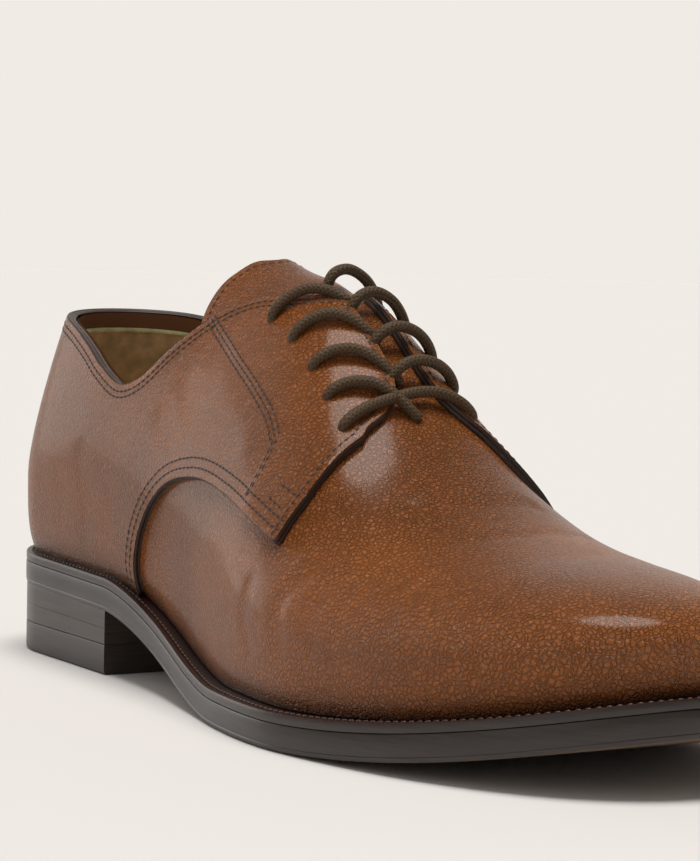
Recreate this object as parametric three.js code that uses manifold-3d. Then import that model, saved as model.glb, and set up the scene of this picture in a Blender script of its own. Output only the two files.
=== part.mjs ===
// A lace-up shoe for the right foot: plain toe, quarters sewn over the vamp, leather sole and heel.
// Millimetres, +X to the toe, +Y to the inner side of the foot, +Z up, floor at 0.
import * as THREE from "three";
import { mergeVertices } from "three/addons/utils/BufferGeometryUtils.js";
import Module from "manifold-3d";

const wasm = await Module();
wasm.setup();

// Sizes of the last, the form the shoe is built over.
const LAST_LENGTH = 290; // feather line, heel to toe
const BALL_WIDTH = 92; // feather line across the joints
const INSTEP_HEIGHT = 106; // ridge of the last above the floor at its middle, near the lacing
const TOE_SPRING = 14; // lift of the sole's front end
const HEEL_SEAT = 20.5; // underside of the sole at the back, above the floor
const HEEL_BREAST_HEIGHT = 18; // the same at the front of the heel
const HEEL_LENGTH = 83; // outsole's back end to the heel's front face

// Sizes of the bottom.
const SOLE_THICKNESS = 6.7;
const WELT_THICKNESS = 2.3;
const WELT_SIDE = 5.2; // welt seen beside the upper
const WELT_BACK = 4.5;
const WELT_TOE = 5.6;
const TOP_LIFT = 8.2; // rubber layer under the heel
const HEEL_INSET = 1; // heel's side behind the sole's edge
const INSOLE_THICKNESS = 3.5;

// Sizes of the upper.
const VAMP_WALL = 2.2;
const QUARTER_STEP = 1.9; // quarters stand this far off the vamp
const TONGUE_THICKNESS = 1.9;
const COLLAR_BACK = 72; // collar above the heel seat, at the back
const COLLAR_DIP = 52; // the same at its lowest place, under the ankle
const FACING_TOP = 78; // the same at the top of the lacing
const LACE_GAP = 9; // between the two facings
const TONGUE_WIDTH = 50;
const LACE = 3; // diameter of the lace
const LACE_HOLE = 3.6;
const LACE_ROWS = 5;
const HOLE_EDGE = 13.5; // lace hole from the facing's edge
const CLEAR = 0.3; // between neighbouring pieces

const SOLE_EDGE = SOLE_THICKNESS + CLEAR + WELT_THICKNESS; // whole height of the sole's edge
const SEAT_TOP = HEEL_SEAT + SOLE_EDGE;
const BREAST = HEEL_LENGTH - WELT_BACK;

// Outline of the feather line: half widths as shares of the ball width, by share of the length.
const OUTLINE = [
  { at: 0.0, lateral: 0.313, medial: 0.3 },
  { at: 0.1, lateral: 0.335, medial: 0.322 },
  { at: 0.2, lateral: 0.342, medial: 0.311 },
  { at: 0.3, lateral: 0.35, medial: 0.276 },
  { at: 0.4, lateral: 0.375, medial: 0.256 },
  { at: 0.5, lateral: 0.432, medial: 0.298 },
  { at: 0.6, lateral: 0.5, medial: 0.392 },
  { at: 0.68, lateral: 0.528, medial: 0.466 },
  { at: 0.74, lateral: 0.514, medial: 0.496 },
  { at: 0.82, lateral: 0.472, medial: 0.488 },
  { at: 0.9, lateral: 0.438, medial: 0.456 },
  { at: 1.0, lateral: 0.425, medial: 0.425 },
];
const TOE_SIDE = 0.083; // toe's end toward the inner side, share of the ball width
const CENTRE = [
  { at: 0, shift: 0 },
  { at: 0.5, shift: 0 },
  { at: 0.7, shift: 0.08 },
  { at: 0.85, shift: 0.4 },
  { at: 1, shift: 1 },
];
// Ridge of the last over its length: height as a share of the instep height.
const RIDGE = [
  { at: 0.11, height: 1.41 },
  { at: 0.21, height: 1.36 },
  { at: 0.28, height: 1.25 },
  { at: 0.345, height: 1.165 },
  { at: 0.41, height: 1.095 },
  { at: 0.465, height: 1.05 },
  { at: 0.52, height: 0.98 },
  { at: 0.57, height: 0.87 },
  { at: 0.62, height: 0.748 },
  { at: 0.67, height: 0.637 },
  { at: 0.725, height: 0.545 },
  { at: 0.775, height: 0.497 },
  { at: 0.83, height: 0.468 },
  { at: 0.87, height: 0.455 },
  { at: 0.93, height: 0.435 },
];
// Shape of each rib from feather line to ridge: bulge in mm beside the feather line, height of the
// bulge above it in mm, fullness of the side wall and of the crown.
const GIRTH = [
  { at: 0.0, lateral: 2.0, medial: 2.0, height: 22, wall: 0.17, crown: 0.12 },
  { at: 0.1, lateral: 2.8, medial: 2.8, height: 23, wall: 0.22, crown: 0.37 },
  { at: 0.22, lateral: 3.2, medial: 3.5, height: 24, wall: 0.3, crown: 0.5 },
  { at: 0.4, lateral: 3.0, medial: 6.0, height: 25, wall: 0.34, crown: 0.5 },
  { at: 0.52, lateral: 3.0, medial: 5.0, height: 22, wall: 0.36, crown: 0.5 },
  { at: 0.66, lateral: 2.5, medial: 3.0, height: 18, wall: 0.48, crown: 0.55 },
  { at: 0.8, lateral: 2.4, medial: 2.4, height: 15, wall: 0.55, crown: 0.58 },
  { at: 0.92, lateral: 2.2, medial: 2.2, height: 13, wall: 0.6, crown: 0.6 },
  { at: 1.0, lateral: 2.0, medial: 2.0, height: 12, wall: 0.6, crown: 0.6 },
];
const FAN_HEEL = 0.115; // ribs behind this share of the length fan out round the heel
const FAN_TOE = 0.87; // ribs ahead of this share fan out round the toe

const STATIONS = 44;
const WALL_STEPS = 4;
const CROWN_STEPS = 9;

// Smooth curve through a table's rows.
function along(table, column, at) {
  const n = table.length;
  const s = Math.min(Math.max(at, table[0].at), table[n - 1].at);
  let k = 0;
  while (k < n - 2 && s > table[k + 1].at) k++;
  const slope = (i) => {
    const a = table[Math.max(i - 1, 0)];
    const b = table[Math.min(i + 1, n - 1)];
    return (b[column] - a[column]) / (b.at - a.at);
  };
  const p = table[k];
  const q = table[k + 1];
  const h = q.at - p.at;
  const t = (s - p.at) / h;
  const u = 1 - t;
  return (
    p[column] * (1 + 2 * t) * u * u +
    q[column] * t * t * (3 - 2 * t) +
    h * (slope(k) * t * u * u - slope(k + 1) * t * t * u)
  );
}

// Height of the sole's underside and of the welt's top at a place along the shoe.
const FLAT_START = 0.57 * LAST_LENGTH;
const FLAT_END = 0.675 * LAST_LENGTH;
function seatLine(x) {
  return HEEL_SEAT + ((HEEL_BREAST_HEIGHT - HEEL_SEAT) * (x + WELT_BACK)) / HEEL_LENGTH;
}
function soleUnder(x) {
  if (x < BREAST) return seatLine(x);
  if (x < FLAT_START) {
    const h = FLAT_START - BREAST;
    const t = (x - BREAST) / h;
    const start = (2 * t * t * t - 3 * t * t + 1) * HEEL_BREAST_HEIGHT;
    return start - 0.1 * h * t * (1 - t) * (1 - t);
  }
  const t = Math.max(x - FLAT_END, 0) / (LAST_LENGTH + WELT_TOE - FLAT_END);
  return TOE_SPRING * t * t;
}
const weltTop = (x) => soleUnder(x) + SOLE_EDGE;

// Plan of the feather line. side is -1 for the outer side of the foot and 1 for the inner side.
const HEEL_ROUND = 30;
const TOE_ROUND = 0.21 * LAST_LENGTH;
const centreLine = (x) => along(CENTRE, "shift", x / LAST_LENGTH) * TOE_SIDE * BALL_WIDTH;
function featherY(x, side) {
  const column = side < 0 ? "lateral" : "medial";
  const width = along(OUTLINE, column, x / LAST_LENGTH) * BALL_WIDTH;
  const h = Math.min(Math.max((HEEL_ROUND - x) / HEEL_ROUND, 0), 1);
  const t = Math.min(Math.max((x - LAST_LENGTH + TOE_ROUND) / TOE_ROUND, 0), 1);
  const heel = Math.pow(1 - Math.pow(h, 2.1), 1 / 2.1);
  const toe = Math.pow(1 - Math.pow(t, 2.15), 1 / 2.15);
  return centreLine(x) + side * width * heel * toe;
}
// Closed loop: heel to toe on the outer side, then back on the inner side.
function featherLoop(n) {
  const loop = [];
  for (let i = 0; i < 2 * n; i++) {
    const side = i <= n ? -1 : 1;
    const k = i <= n ? i : 2 * n - i;
    const x = (LAST_LENGTH / 2) * (1 - Math.cos((Math.PI * k) / n));
    loop.push({ x, y: featherY(x, side), side, k });
  }
  return loop;
}
function marginAt(x) {
  const s = Math.min(Math.max(x / LAST_LENGTH, 0), 1);
  if (s < 0.2) return WELT_BACK;
  if (s < 0.5) return WELT_BACK + ((WELT_SIDE - WELT_BACK) * (s - 0.2)) / 0.3;
  if (s < 0.8) return WELT_SIDE;
  return WELT_SIDE + ((WELT_TOE - WELT_SIDE) * (s - 0.8)) / 0.2;
}
function offsetLoop(loop, margin) {
  const n = loop.length;
  return loop.map((p, i) => {
    const a = loop[(i + n - 1) % n];
    const b = loop[(i + 1) % n];
    const d = Math.hypot(b.x - a.x, b.y - a.y);
    const m = margin(p.x);
    return { x: p.x + ((b.y - a.y) / d) * m, y: p.y - ((b.x - a.x) / d) * m };
  });
}

function geometry(points, faces) {
  const g = new THREE.BufferGeometry();
  g.setAttribute("position", new THREE.Float32BufferAttribute(points.flat(), 3));
  g.setIndex(faces.flat());
  return g;
}
function solid(source) {
  const g = source.clone();
  g.deleteAttribute("normal");
  g.deleteAttribute("uv");
  const m = mergeVertices(g, 1e-3);
  return new wasm.Manifold(
    new wasm.Mesh({
      numProp: 3,
      vertProperties: new Float32Array(m.attributes.position.array),
      triVerts: new Uint32Array(m.index.array),
    }),
  );
}
// The same solid with vertices that lie closer than a hundredth of a millimetre made one.
function tidy(body) {
  const m = body.getMesh();
  const points = [];
  for (let i = 0; i < m.numVert; i++) {
    points.push([...m.vertProperties.subarray(i * m.numProp, i * m.numProp + 3)]);
  }
  const merged = mergeVertices(geometry(points, [[...m.triVerts]]), 1e-2);
  const index = [...merged.index.array];
  const kept = [];
  for (let i = 0; i < index.length; i += 3) {
    const [a, b, c] = index.slice(i, i + 3);
    if (a !== b && b !== c && a !== c) kept.push([a, b, c]);
  }
  merged.setIndex(kept.flat());
  return solid(merged);
}
// Closed plate over the feather loop moved out by a margin, between two heights along the shoe.
function plate(margin, bottom, top) {
  const n = STATIONS;
  const ring = offsetLoop(featherLoop(n), margin);
  const points = [];
  for (const p of ring) points.push([p.x, p.y, bottom(p.x)]);
  for (const p of ring) points.push([p.x, p.y, top(p.x)]);
  const m = ring.length;
  const faces = [];
  for (let i = 0; i < m; i++) {
    const j = (i + 1) % m;
    faces.push([i, j, m + j], [i, m + j, m + i]);
  }
  for (let i = 0; i < n; i++) {
    const a = i;
    const b = i + 1;
    const c = (m - i - 1) % m;
    const d = (m - i) % m;
    if (b !== c) {
      faces.push([a, c, b]);
      faces.push([m + a, m + b, m + c]);
    }
    if (a !== d) {
      faces.push([a, d, c]);
      faces.push([m + a, m + c, m + d]);
    }
  }
  return solid(geometry(points, faces));
}

// One rib of the last, moved out by some offset: where it stands, which way it faces, its curve.
const softUp = (x, low, k) => low + k * Math.log1p(Math.exp((x - low) / k));
function ribFrame(p) {
  const low = FAN_HEEL * LAST_LENGTH;
  const high = FAN_TOE * LAST_LENGTH;
  let s = softUp(p.x, low, 8);
  s = -softUp(-s, -high, 8);
  if (s > high - 1) s = high;
  if (s < low + 1) s = low;
  const y = 0.035 * BALL_WIDTH * Math.min(Math.max((s - 60) / 100, 0), 1) + centreLine(s);
  const rho = Math.hypot(p.x - s, p.y - y);
  return { s, y, rho, ex: (p.x - s) / rho, ey: (p.y - y) / rho };
}
const ridgeAt = (x) => along(RIDGE, "height", x / LAST_LENGTH) * INSTEP_HEIGHT;
function ridgeSlope(x) {
  return (ridgeAt(x + 1) - ridgeAt(x - 1)) / 2;
}
function bezier(a, b, c, d, t) {
  const u = 1 - t;
  return [0, 1].map(
    (i) => a[i] * u * u * u + 3 * b[i] * t * u * u + 3 * c[i] * t * t * u + d[i] * t * t * t,
  );
}
function ribCurves(p, offset) {
  const f = ribFrame(p);
  const at = p.x / LAST_LENGTH;
  const slope = ridgeSlope(f.s);
  const top = ridgeAt(f.s) + offset * Math.hypot(1, slope);
  const foot = weltTop(p.x) + CLEAR;
  const out = along(GIRTH, p.side < 0 ? "lateral" : "medial", at);
  const rise = along(GIRTH, "height", at);
  const wall = along(GIRTH, "wall", at);
  const crown = along(GIRTH, "crown", at);
  const r = f.rho + offset;
  const p0 = [r, foot];
  const p3 = [r + out, foot + rise];
  const p1 = [r + 0.9 * out, foot + 0.25 * rise];
  const p2 = [r + out, foot + 0.5 * rise];
  const q1 = [r + out, p3[1] + wall * (top - p3[1])];
  const reach = crown * (r + out);
  const q2 = [reach, top + slope * f.ex * reach];
  const q3 = [0, top];
  return { frame: f, side: [p0, p1, p2, p3], crown: [p3, q1, q2, q3] };
}
// Closed form of the last, moved out by an offset; its bottom can reach below the feather line.
function lastForm(offset, drop = 0) {
  const n = STATIONS;
  const loop = featherLoop(n);
  const points = [];
  const faces = [];
  const rows = 1 + WALL_STEPS + CROWN_STEPS;
  for (const p of loop) {
    const c = ribCurves(p, offset);
    const place = ([r, z], lower = 0) =>
      points.push([c.frame.s + c.frame.ex * r, c.frame.y + c.frame.ey * r, z - lower]);
    place(c.side[0], drop);
    for (let k = drop ? 0 : 1; k <= WALL_STEPS; k++) place(bezier(...c.side, k / WALL_STEPS));
    for (let k = 1; k <= CROWN_STEPS; k++) place(bezier(...c.crown, k / CROWN_STEPS));
  }
  const per = drop ? rows + 1 : rows;
  const m = loop.length;
  for (let i = 0; i < m; i++) {
    const j = (i + 1) % m;
    for (let k = 0; k < per - 1; k++) {
      const a = i * per + k;
      const b = j * per + k;
      faces.push([a, b, b + 1], [a, b + 1, a + 1]);
    }
  }
  for (let i = 0; i < n; i++) {
    const a = i * per;
    const b = (i + 1) * per;
    const c = ((m - i - 1) % m) * per;
    const d = ((m - i) % m) * per;
    if (b !== c) faces.push([a, c, b]);
    if (a !== d) faces.push([a, d, c]);
  }
  return solid(geometry(points, faces));
}
// Height of the last's crown over a plan place, moved out by an offset.
function crownAt(x, y, offset) {
  const side = y < ribFrame({ x, y: 0 }).y ? -1 : 1;
  const c = ribCurves({ x, y: featherY(x, side), side }, offset);
  const want = Math.abs(y - c.frame.y);
  let low = 0;
  let high = 1;
  for (let k = 0; k < 40; k++) {
    const t = (low + high) / 2;
    if (bezier(...c.crown, t)[0] > want) low = t;
    else high = t;
  }
  return bezier(...c.crown, low)[1];
}

// Prisms that cut: one across the shoe from a side view, one upright from a plan.
function smoothLine(rows, steps) {
  const curve = new THREE.CatmullRomCurve3(
    rows.map(([a, b]) => new THREE.Vector3(a, b, 0)),
    false,
    "centripetal",
  );
  return curve.getPoints(steps).map((v) => [v.x, v.y]);
}
function sidePrism(outline, half = 2 * BALL_WIDTH) {
  const shape = new THREE.Shape(outline.map(([x, z]) => new THREE.Vector2(x, z)));
  const g = new THREE.ExtrudeGeometry(shape, { depth: 2 * half, bevelEnabled: false, steps: 1 });
  g.rotateX(Math.PI / 2);
  g.translate(0, half, 0);
  return solid(g);
}
function planPrism(outline, low = -50, high = 2 * INSTEP_HEIGHT) {
  const shape = new THREE.Shape(outline.map(([x, y]) => new THREE.Vector2(x, y)));
  const g = new THREE.ExtrudeGeometry(shape, { depth: high - low, bevelEnabled: false, steps: 1 });
  g.translate(0, 0, low);
  return solid(g);
}

// Collar line seen from the side, from behind the heel to the front of the lacing.
const FACING_FRONT = 0.472 * LAST_LENGTH;
const collarLine = smoothLine(
  [
    [-0.15 * LAST_LENGTH, SEAT_TOP + COLLAR_BACK],
    [0.03 * LAST_LENGTH, SEAT_TOP + COLLAR_BACK],
    [0.12 * LAST_LENGTH, SEAT_TOP + COLLAR_BACK - 0.22 * (COLLAR_BACK - COLLAR_DIP)],
    [0.175 * LAST_LENGTH, SEAT_TOP + COLLAR_BACK - 0.48 * (COLLAR_BACK - COLLAR_DIP)],
    [0.225 * LAST_LENGTH, SEAT_TOP + COLLAR_DIP + 0.2 * (COLLAR_BACK - COLLAR_DIP)],
    [0.27 * LAST_LENGTH, SEAT_TOP + COLLAR_DIP],
    [0.305 * LAST_LENGTH, SEAT_TOP + COLLAR_DIP + 0.1 * (FACING_TOP - COLLAR_DIP)],
    [0.345 * LAST_LENGTH, SEAT_TOP + COLLAR_DIP + 0.45 * (FACING_TOP - COLLAR_DIP)],
    [0.385 * LAST_LENGTH, SEAT_TOP + COLLAR_DIP + 0.76 * (FACING_TOP - COLLAR_DIP)],
    [0.43 * LAST_LENGTH, SEAT_TOP + FACING_TOP - 1],
    [FACING_FRONT, SEAT_TOP + FACING_TOP],
    [0.6 * LAST_LENGTH, SEAT_TOP + FACING_TOP + 2],
  ],
  44,
);
const collarCut = sidePrism([
  ...collarLine,
  [0.6 * LAST_LENGTH, 3 * INSTEP_HEIGHT],
  [-0.15 * LAST_LENGTH, 3 * INSTEP_HEIGHT],
]);

// Front edge of the quarters seen from the side: up from the welt, over, and down to the corner.
const CORNER_X = 0.655 * LAST_LENGTH;
const CORNER_Z = 0.455 * INSTEP_HEIGHT;
const quarterCurve = smoothLine(
  [
    [0.335 * LAST_LENGTH, -5],
    [0.332 * LAST_LENGTH, 0.18 * INSTEP_HEIGHT],
    [0.335 * LAST_LENGTH, 0.3 * INSTEP_HEIGHT],
    [0.355 * LAST_LENGTH, 0.42 * INSTEP_HEIGHT],
    [0.4 * LAST_LENGTH, 0.53 * INSTEP_HEIGHT],
    [0.46 * LAST_LENGTH, 0.565 * INSTEP_HEIGHT],
    [0.54 * LAST_LENGTH, 0.54 * INSTEP_HEIGHT],
    [CORNER_X, CORNER_Z],
  ],
  26,
);
const quarterSide = sidePrism([
  [-0.15 * LAST_LENGTH, -5],
  ...quarterCurve,
  [CORNER_X - 1, CORNER_Z + 0.1 * INSTEP_HEIGHT],
  [0.64 * LAST_LENGTH, 0.66 * INSTEP_HEIGHT],
  [0.63 * LAST_LENGTH, 0.8 * INSTEP_HEIGHT],
  [0.6 * LAST_LENGTH, 2 * INSTEP_HEIGHT],
  [-0.15 * LAST_LENGTH, 2 * INSTEP_HEIGHT],
]);

// Gap between the facings, in plan; it flares at its front where their corners are rounded.
const ridgeY = (x) => ribFrame({ x, y: 0 }).y;
const GAP_FRONT = 0.612 * LAST_LENGTH;
const TONGUE_FRONT = 0.6 * LAST_LENGTH;
const TONGUE_TOP = 0.377 * LAST_LENGTH;
function gapEdge(side) {
  const g = LACE_GAP / 2;
  return [
    [0.2 * LAST_LENGTH, g + 2],
    [0.42 * LAST_LENGTH, g + 0.6],
    [0.5 * LAST_LENGTH, g],
    [GAP_FRONT - 8, g],
    [GAP_FRONT - 3, g + 1],
    [GAP_FRONT + 1, g + 3.5],
    [GAP_FRONT + 4, g + 8],
    [GAP_FRONT + 7, g + 16],
    [GAP_FRONT + 30, g + 30],
  ].map(([x, y]) => [x, ridgeY(x) + side * y]);
}
const gapCut = planPrism([...gapEdge(-1), ...gapEdge(1).reverse()]);

// Plan of the tongue, wider at the top, with rounded corners. A grown one clears a way for it.
function tonguePlan(grow, low) {
  const w = TONGUE_WIDTH / 2;
  const back = TONGUE_TOP;
  const corner = [
    [back, 0],
    [back + 0.4, 0.5 * w],
    [back + 2, 0.82 * w],
    [back + 7, 0.97 * w],
  ];
  const open = [
    [back - 30, 0],
    [back - 30, w],
  ];
  const edge = [
    ...(grow ? open : corner),
    [back + 20, w],
    [0.5 * LAST_LENGTH, 0.93 * w],
    [TONGUE_FRONT - 6, 0.78 * w],
    [TONGUE_FRONT + Math.min(grow, CLEAR), 0.7 * w],
  ];
  const point = (side) => ([x, y]) => [x, ridgeY(Math.max(x, 60)) + side * (y + (y ? grow : 0))];
  return planPrism([...edge.map(point(-1)), ...edge.slice(1).reverse().map(point(1))], low);
}

const vamp = lastForm(0);
const quarters = lastForm(QUARTER_STEP).intersect(quarterSide).subtract(gapCut);
const hollow = lastForm(-VAMP_WALL, 12);
const TONGUE_LOW = 0.64 * INSTEP_HEIGHT; // the tongue's plan is cut off below this height
const relief = lastForm(CLEAR).intersect(tonguePlan(1, TONGUE_LOW - 1));
let upper = vamp.add(quarters).subtract(hollow).subtract(collarCut).subtract(relief);

// Lace holes through the facings, square to the leather.
const ROW_FIRST = 0.474 * LAST_LENGTH; // top row
const ROW_LAST = 0.606 * LAST_LENGTH; // row nearest the toe
const HOLE_SIDE = LACE_GAP / 2 + HOLE_EDGE;
function rowAt(k) {
  return ROW_FIRST + ((ROW_LAST - ROW_FIRST) * k) / (LACE_ROWS - 1);
}
function skinPoint(x, y, offset) {
  return new THREE.Vector3(x, y, crownAt(x, y, offset));
}
function skinNormal(x, y, offset) {
  const dx = skinPoint(x + 1, y, offset).sub(skinPoint(x - 1, y, offset));
  const dy = skinPoint(x, y + 1, offset).sub(skinPoint(x, y - 1, offset));
  return dx.cross(dy).normalize();
}
for (let k = 0; k < LACE_ROWS; k++) {
  for (const side of [-1, 1]) {
    const x = rowAt(k);
    const y = ridgeY(x) + side * HOLE_SIDE;
    const drill = new THREE.CylinderGeometry(LACE_HOLE / 2, LACE_HOLE / 2, 10, 12);
    const way = skinNormal(x, y, QUARTER_STEP);
    const turn = new THREE.Quaternion().setFromUnitVectors(new THREE.Vector3(0, 1, 0), way);
    drill.applyQuaternion(turn);
    const at = skinPoint(x, y, QUARTER_STEP / 2);
    drill.translate(at.x, at.y, at.z);
    upper = upper.subtract(solid(drill));
  }
}

upper = tidy(upper);

const tongue = vamp
  .subtract(lastForm(-TONGUE_THICKNESS, 12))
  .intersect(tonguePlan(0, TONGUE_LOW));

// Bottom: outsole, welt, insole and the two parts of the heel.
const outsole = plate(marginAt, soleUnder, (x) => soleUnder(x) + SOLE_THICKNESS);
const weltPlate = plate(marginAt, (x) => weltTop(x) - WELT_THICKNESS, weltTop);
const WELT_IN = 3.4;
const weltHole = plate(
  () => -WELT_IN,
  (x) => weltTop(x) - WELT_THICKNESS - 4,
  (x) => weltTop(x) + 4,
);
const welt = weltPlate.subtract(weltHole);
const insole = plate(
  () => -WELT_IN - CLEAR,
  (x) => weltTop(x) - WELT_THICKNESS,
  (x) => weltTop(x) - WELT_THICKNESS + INSOLE_THICKNESS,
);
const heelBox = planPrism([
  [-50, -100],
  [BREAST, -100],
  [BREAST, 100],
  [-50, 100],
]);
const heelMargin = (x) => marginAt(x) - HEEL_INSET;
const heelStack = plate(
  heelMargin,
  () => TOP_LIFT + CLEAR,
  (x) => seatLine(x) - CLEAR,
).intersect(heelBox);
const heelTopLift = plate(heelMargin, () => 0, () => TOP_LIFT).intersect(heelBox);

// Laces: a strand is a round tube through points.
function strand(points) {
  const path = new THREE.CatmullRomCurve3(points, false, "centripetal");
  const ring = new THREE.Shape();
  const sides = 7;
  for (let k = 0; k < sides; k++) {
    const a = (2 * Math.PI * k) / sides;
    const px = (LACE / 2) * Math.cos(a);
    const py = (LACE / 2) * Math.sin(a);
    if (k) ring.lineTo(px, py);
    else ring.moveTo(px, py);
  }
  ring.closePath();
  return solid(new THREE.ExtrudeGeometry(ring, { steps: 10, extrudePath: path }));
}
// Point above the facings (or above the tongue in the gap) by a clear height.
function above(x, across, height) {
  const y = ridgeY(x) + across;
  const gap = Math.abs(across) < LACE_GAP / 2 - 0.5;
  const skin = gap ? 0 : QUARTER_STEP;
  const at = skinPoint(x, y, skin);
  return at.addScaledVector(skinNormal(x, y, skin), height + LACE / 2);
}
const pitch = (ROW_LAST - ROW_FIRST) / (LACE_ROWS - 1);
const crossings = [];
for (let k = 0; k < LACE_ROWS - 1; k++) {
  const x = rowAt(k);
  const make = (side, lift) =>
    strand([
      above(x, side * HOLE_SIDE, 0.6),
      above(x - 0.5, side * (HOLE_SIDE - 3), 2.2),
      above(x, side * (HOLE_SIDE - 7), 3),
      above(x + 0.15 * pitch, side * (LACE_GAP / 2 + 2), 2.4),
      above(x + 0.3 * pitch, side * 0.3, 2 + lift),
      above(x + 0.42 * pitch, -side * (LACE_GAP / 2 - 2.6), 1 + lift),
    ]);
  crossings.push(make(-1, 0.9).add(make(1, 0)));
}
const barPoints = [];
for (const share of [-1, -0.8, -0.5, -0.2, 0.2, 0.5, 0.8, 1]) {
  const lift = 0.6 + 1.4 * (1 - share * share);
  const reach = share * HOLE_SIDE;
  const x = ROW_LAST;
  const at = skinPoint(x, ridgeY(x) + reach, QUARTER_STEP);
  barPoints.push(at.addScaledVector(skinNormal(x, ridgeY(x) + reach, QUARTER_STEP), lift + LACE / 2));
}
const bar = strand(barPoints);

const LOOKS = {
  leather: { color: 0x8a5230, roughness: 0.45, metalness: 0 },
  tongueLeather: { color: 0x85502f, roughness: 0.5, metalness: 0 },
  lace: { color: 0x3a2c1e, roughness: 0.8, metalness: 0 },
  sole: { color: 0x4a403c, roughness: 0.5, metalness: 0 },
  welt: { color: 0x2e1a16, roughness: 0.6, metalness: 0 },
  rubber: { color: 0x3c3634, roughness: 0.7, metalness: 0 },
  insole: { color: 0x9a7f58, roughness: 0.8, metalness: 0 },
};
const group = new THREE.Group();
function piece(name, body, look) {
  const m = body.getMesh();
  const g = new THREE.BufferGeometry();
  const n = m.numProp;
  const at = new Float32Array(m.numVert * 3);
  for (let i = 0; i < m.numVert; i++) at.set(m.vertProperties.subarray(i * n, i * n + 3), i * 3);
  g.setAttribute("position", new THREE.BufferAttribute(at, 3));
  g.setIndex(new THREE.BufferAttribute(m.triVerts, 1));
  g.computeVertexNormals();
  const mesh = new THREE.Mesh(g, new THREE.MeshStandardMaterial(LOOKS[look]));
  mesh.name = name;
  group.add(mesh);
}
piece("outsole", outsole, "sole");
piece("welt", welt, "welt");
piece("heel_stack", heelStack, "sole");
piece("heel_top_lift", heelTopLift, "rubber");
piece("insole", insole, "insole");
piece("upper", upper, "leather");
piece("tongue", tongue, "tongueLeather");
crossings.forEach((body, k) => piece("lace_cross_" + (k + 1), body, "lace"));
piece("lace_bar", bar, "lace");

// The frame's origin: middle of the outline, on the floor.
const box = new THREE.Box3().setFromObject(group);
const shift = box.getCenter(new THREE.Vector3());
group.position.set(-shift.x, -shift.y, -box.min.z);

export default group;
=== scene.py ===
"""A plain-toe lace-up shoe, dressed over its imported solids: leather panels, seams, laces and sole."""

import math

import bmesh
import bpy
import numpy as np
from bpy.props import FloatProperty, FloatVectorProperty, IntProperty, PointerProperty
from mathutils import Matrix, Vector
from mathutils.bvhtree import BVHTree


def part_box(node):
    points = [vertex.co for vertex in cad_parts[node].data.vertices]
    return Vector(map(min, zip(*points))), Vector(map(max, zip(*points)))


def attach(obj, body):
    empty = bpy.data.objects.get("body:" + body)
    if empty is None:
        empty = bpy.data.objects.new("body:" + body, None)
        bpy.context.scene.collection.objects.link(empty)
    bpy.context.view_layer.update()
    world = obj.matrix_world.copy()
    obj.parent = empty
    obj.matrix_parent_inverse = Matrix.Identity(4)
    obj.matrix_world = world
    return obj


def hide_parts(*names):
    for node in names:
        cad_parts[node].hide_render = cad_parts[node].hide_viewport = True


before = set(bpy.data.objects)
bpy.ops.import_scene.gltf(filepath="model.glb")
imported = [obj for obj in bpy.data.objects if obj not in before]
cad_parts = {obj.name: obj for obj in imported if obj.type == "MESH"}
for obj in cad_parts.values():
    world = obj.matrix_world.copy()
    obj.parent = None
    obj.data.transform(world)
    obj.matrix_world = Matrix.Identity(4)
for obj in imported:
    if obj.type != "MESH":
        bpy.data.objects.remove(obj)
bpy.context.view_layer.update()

bl_info = {
    "name": "Lace-up Shoe",
    "version": (1, 0, 0),
    "blender": (4, 5, 0),
    "location": "View3D > Sidebar > Shoe",
    "description": "Builds a right-foot lace-up shoe of grained leather on a welted sole",
    "category": "Object",
}

MM = 0.001

# Sizes of the last in millimetres, as in the solids: x from the heel's feather line, y to the inner side.
LAST_LENGTH = 290.0
BALL_WIDTH = 92.0
INSTEP_HEIGHT = 106.0
TOE_SPRING = 14.0
HEEL_SEAT = 20.5
HEEL_BREAST_HEIGHT = 18.0
HEEL_LENGTH = 83.0
WELT_BACK = 4.5
WELT_SIDE = 5.2
WELT_TOE = 5.6
SOLE_THICKNESS = 6.7
WELT_THICKNESS = 2.3
TOP_LIFT = 8.2
QUARTER_STEP = 1.9
VAMP_WALL = 2.2
COLLAR_BACK = 72.0
COLLAR_DIP = 52.0
FACING_TOP = 78.0
LACE_GAP = 9.0
TONGUE_WIDTH = 50.0
HOLE_EDGE = 13.5
LACE_ROWS = 5
CLEAR = 0.3
SOLE_EDGE = SOLE_THICKNESS + CLEAR + WELT_THICKNESS
SEAT_TOP = HEEL_SEAT + SOLE_EDGE
BREAST = HEEL_LENGTH - WELT_BACK
FLAT_START = 0.57 * LAST_LENGTH
FLAT_END = 0.675 * LAST_LENGTH

OUTLINE = {
    "at": (0.0, 0.1, 0.2, 0.3, 0.4, 0.5, 0.6, 0.68, 0.74, 0.82, 0.9, 1.0),
    "lateral": (0.313, 0.335, 0.342, 0.35, 0.375, 0.432, 0.5, 0.528, 0.514, 0.472, 0.438, 0.425),
    "medial": (0.3, 0.322, 0.311, 0.276, 0.256, 0.298, 0.392, 0.466, 0.496, 0.488, 0.456, 0.425),
}
TOE_SIDE = 0.083
CENTRE = {"at": (0, 0.5, 0.7, 0.85, 1), "shift": (0, 0, 0.08, 0.4, 1)}
RIDGE = {
    "at": (0.11, 0.21, 0.28, 0.345, 0.41, 0.465, 0.52, 0.57, 0.62, 0.67, 0.725, 0.775, 0.83, 0.87, 0.93),
    "height": (
        1.41, 1.36, 1.25, 1.165, 1.095, 1.05, 0.98, 0.87, 0.748, 0.637, 0.545, 0.497, 0.468, 0.455, 0.435,
    ),
}
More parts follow.
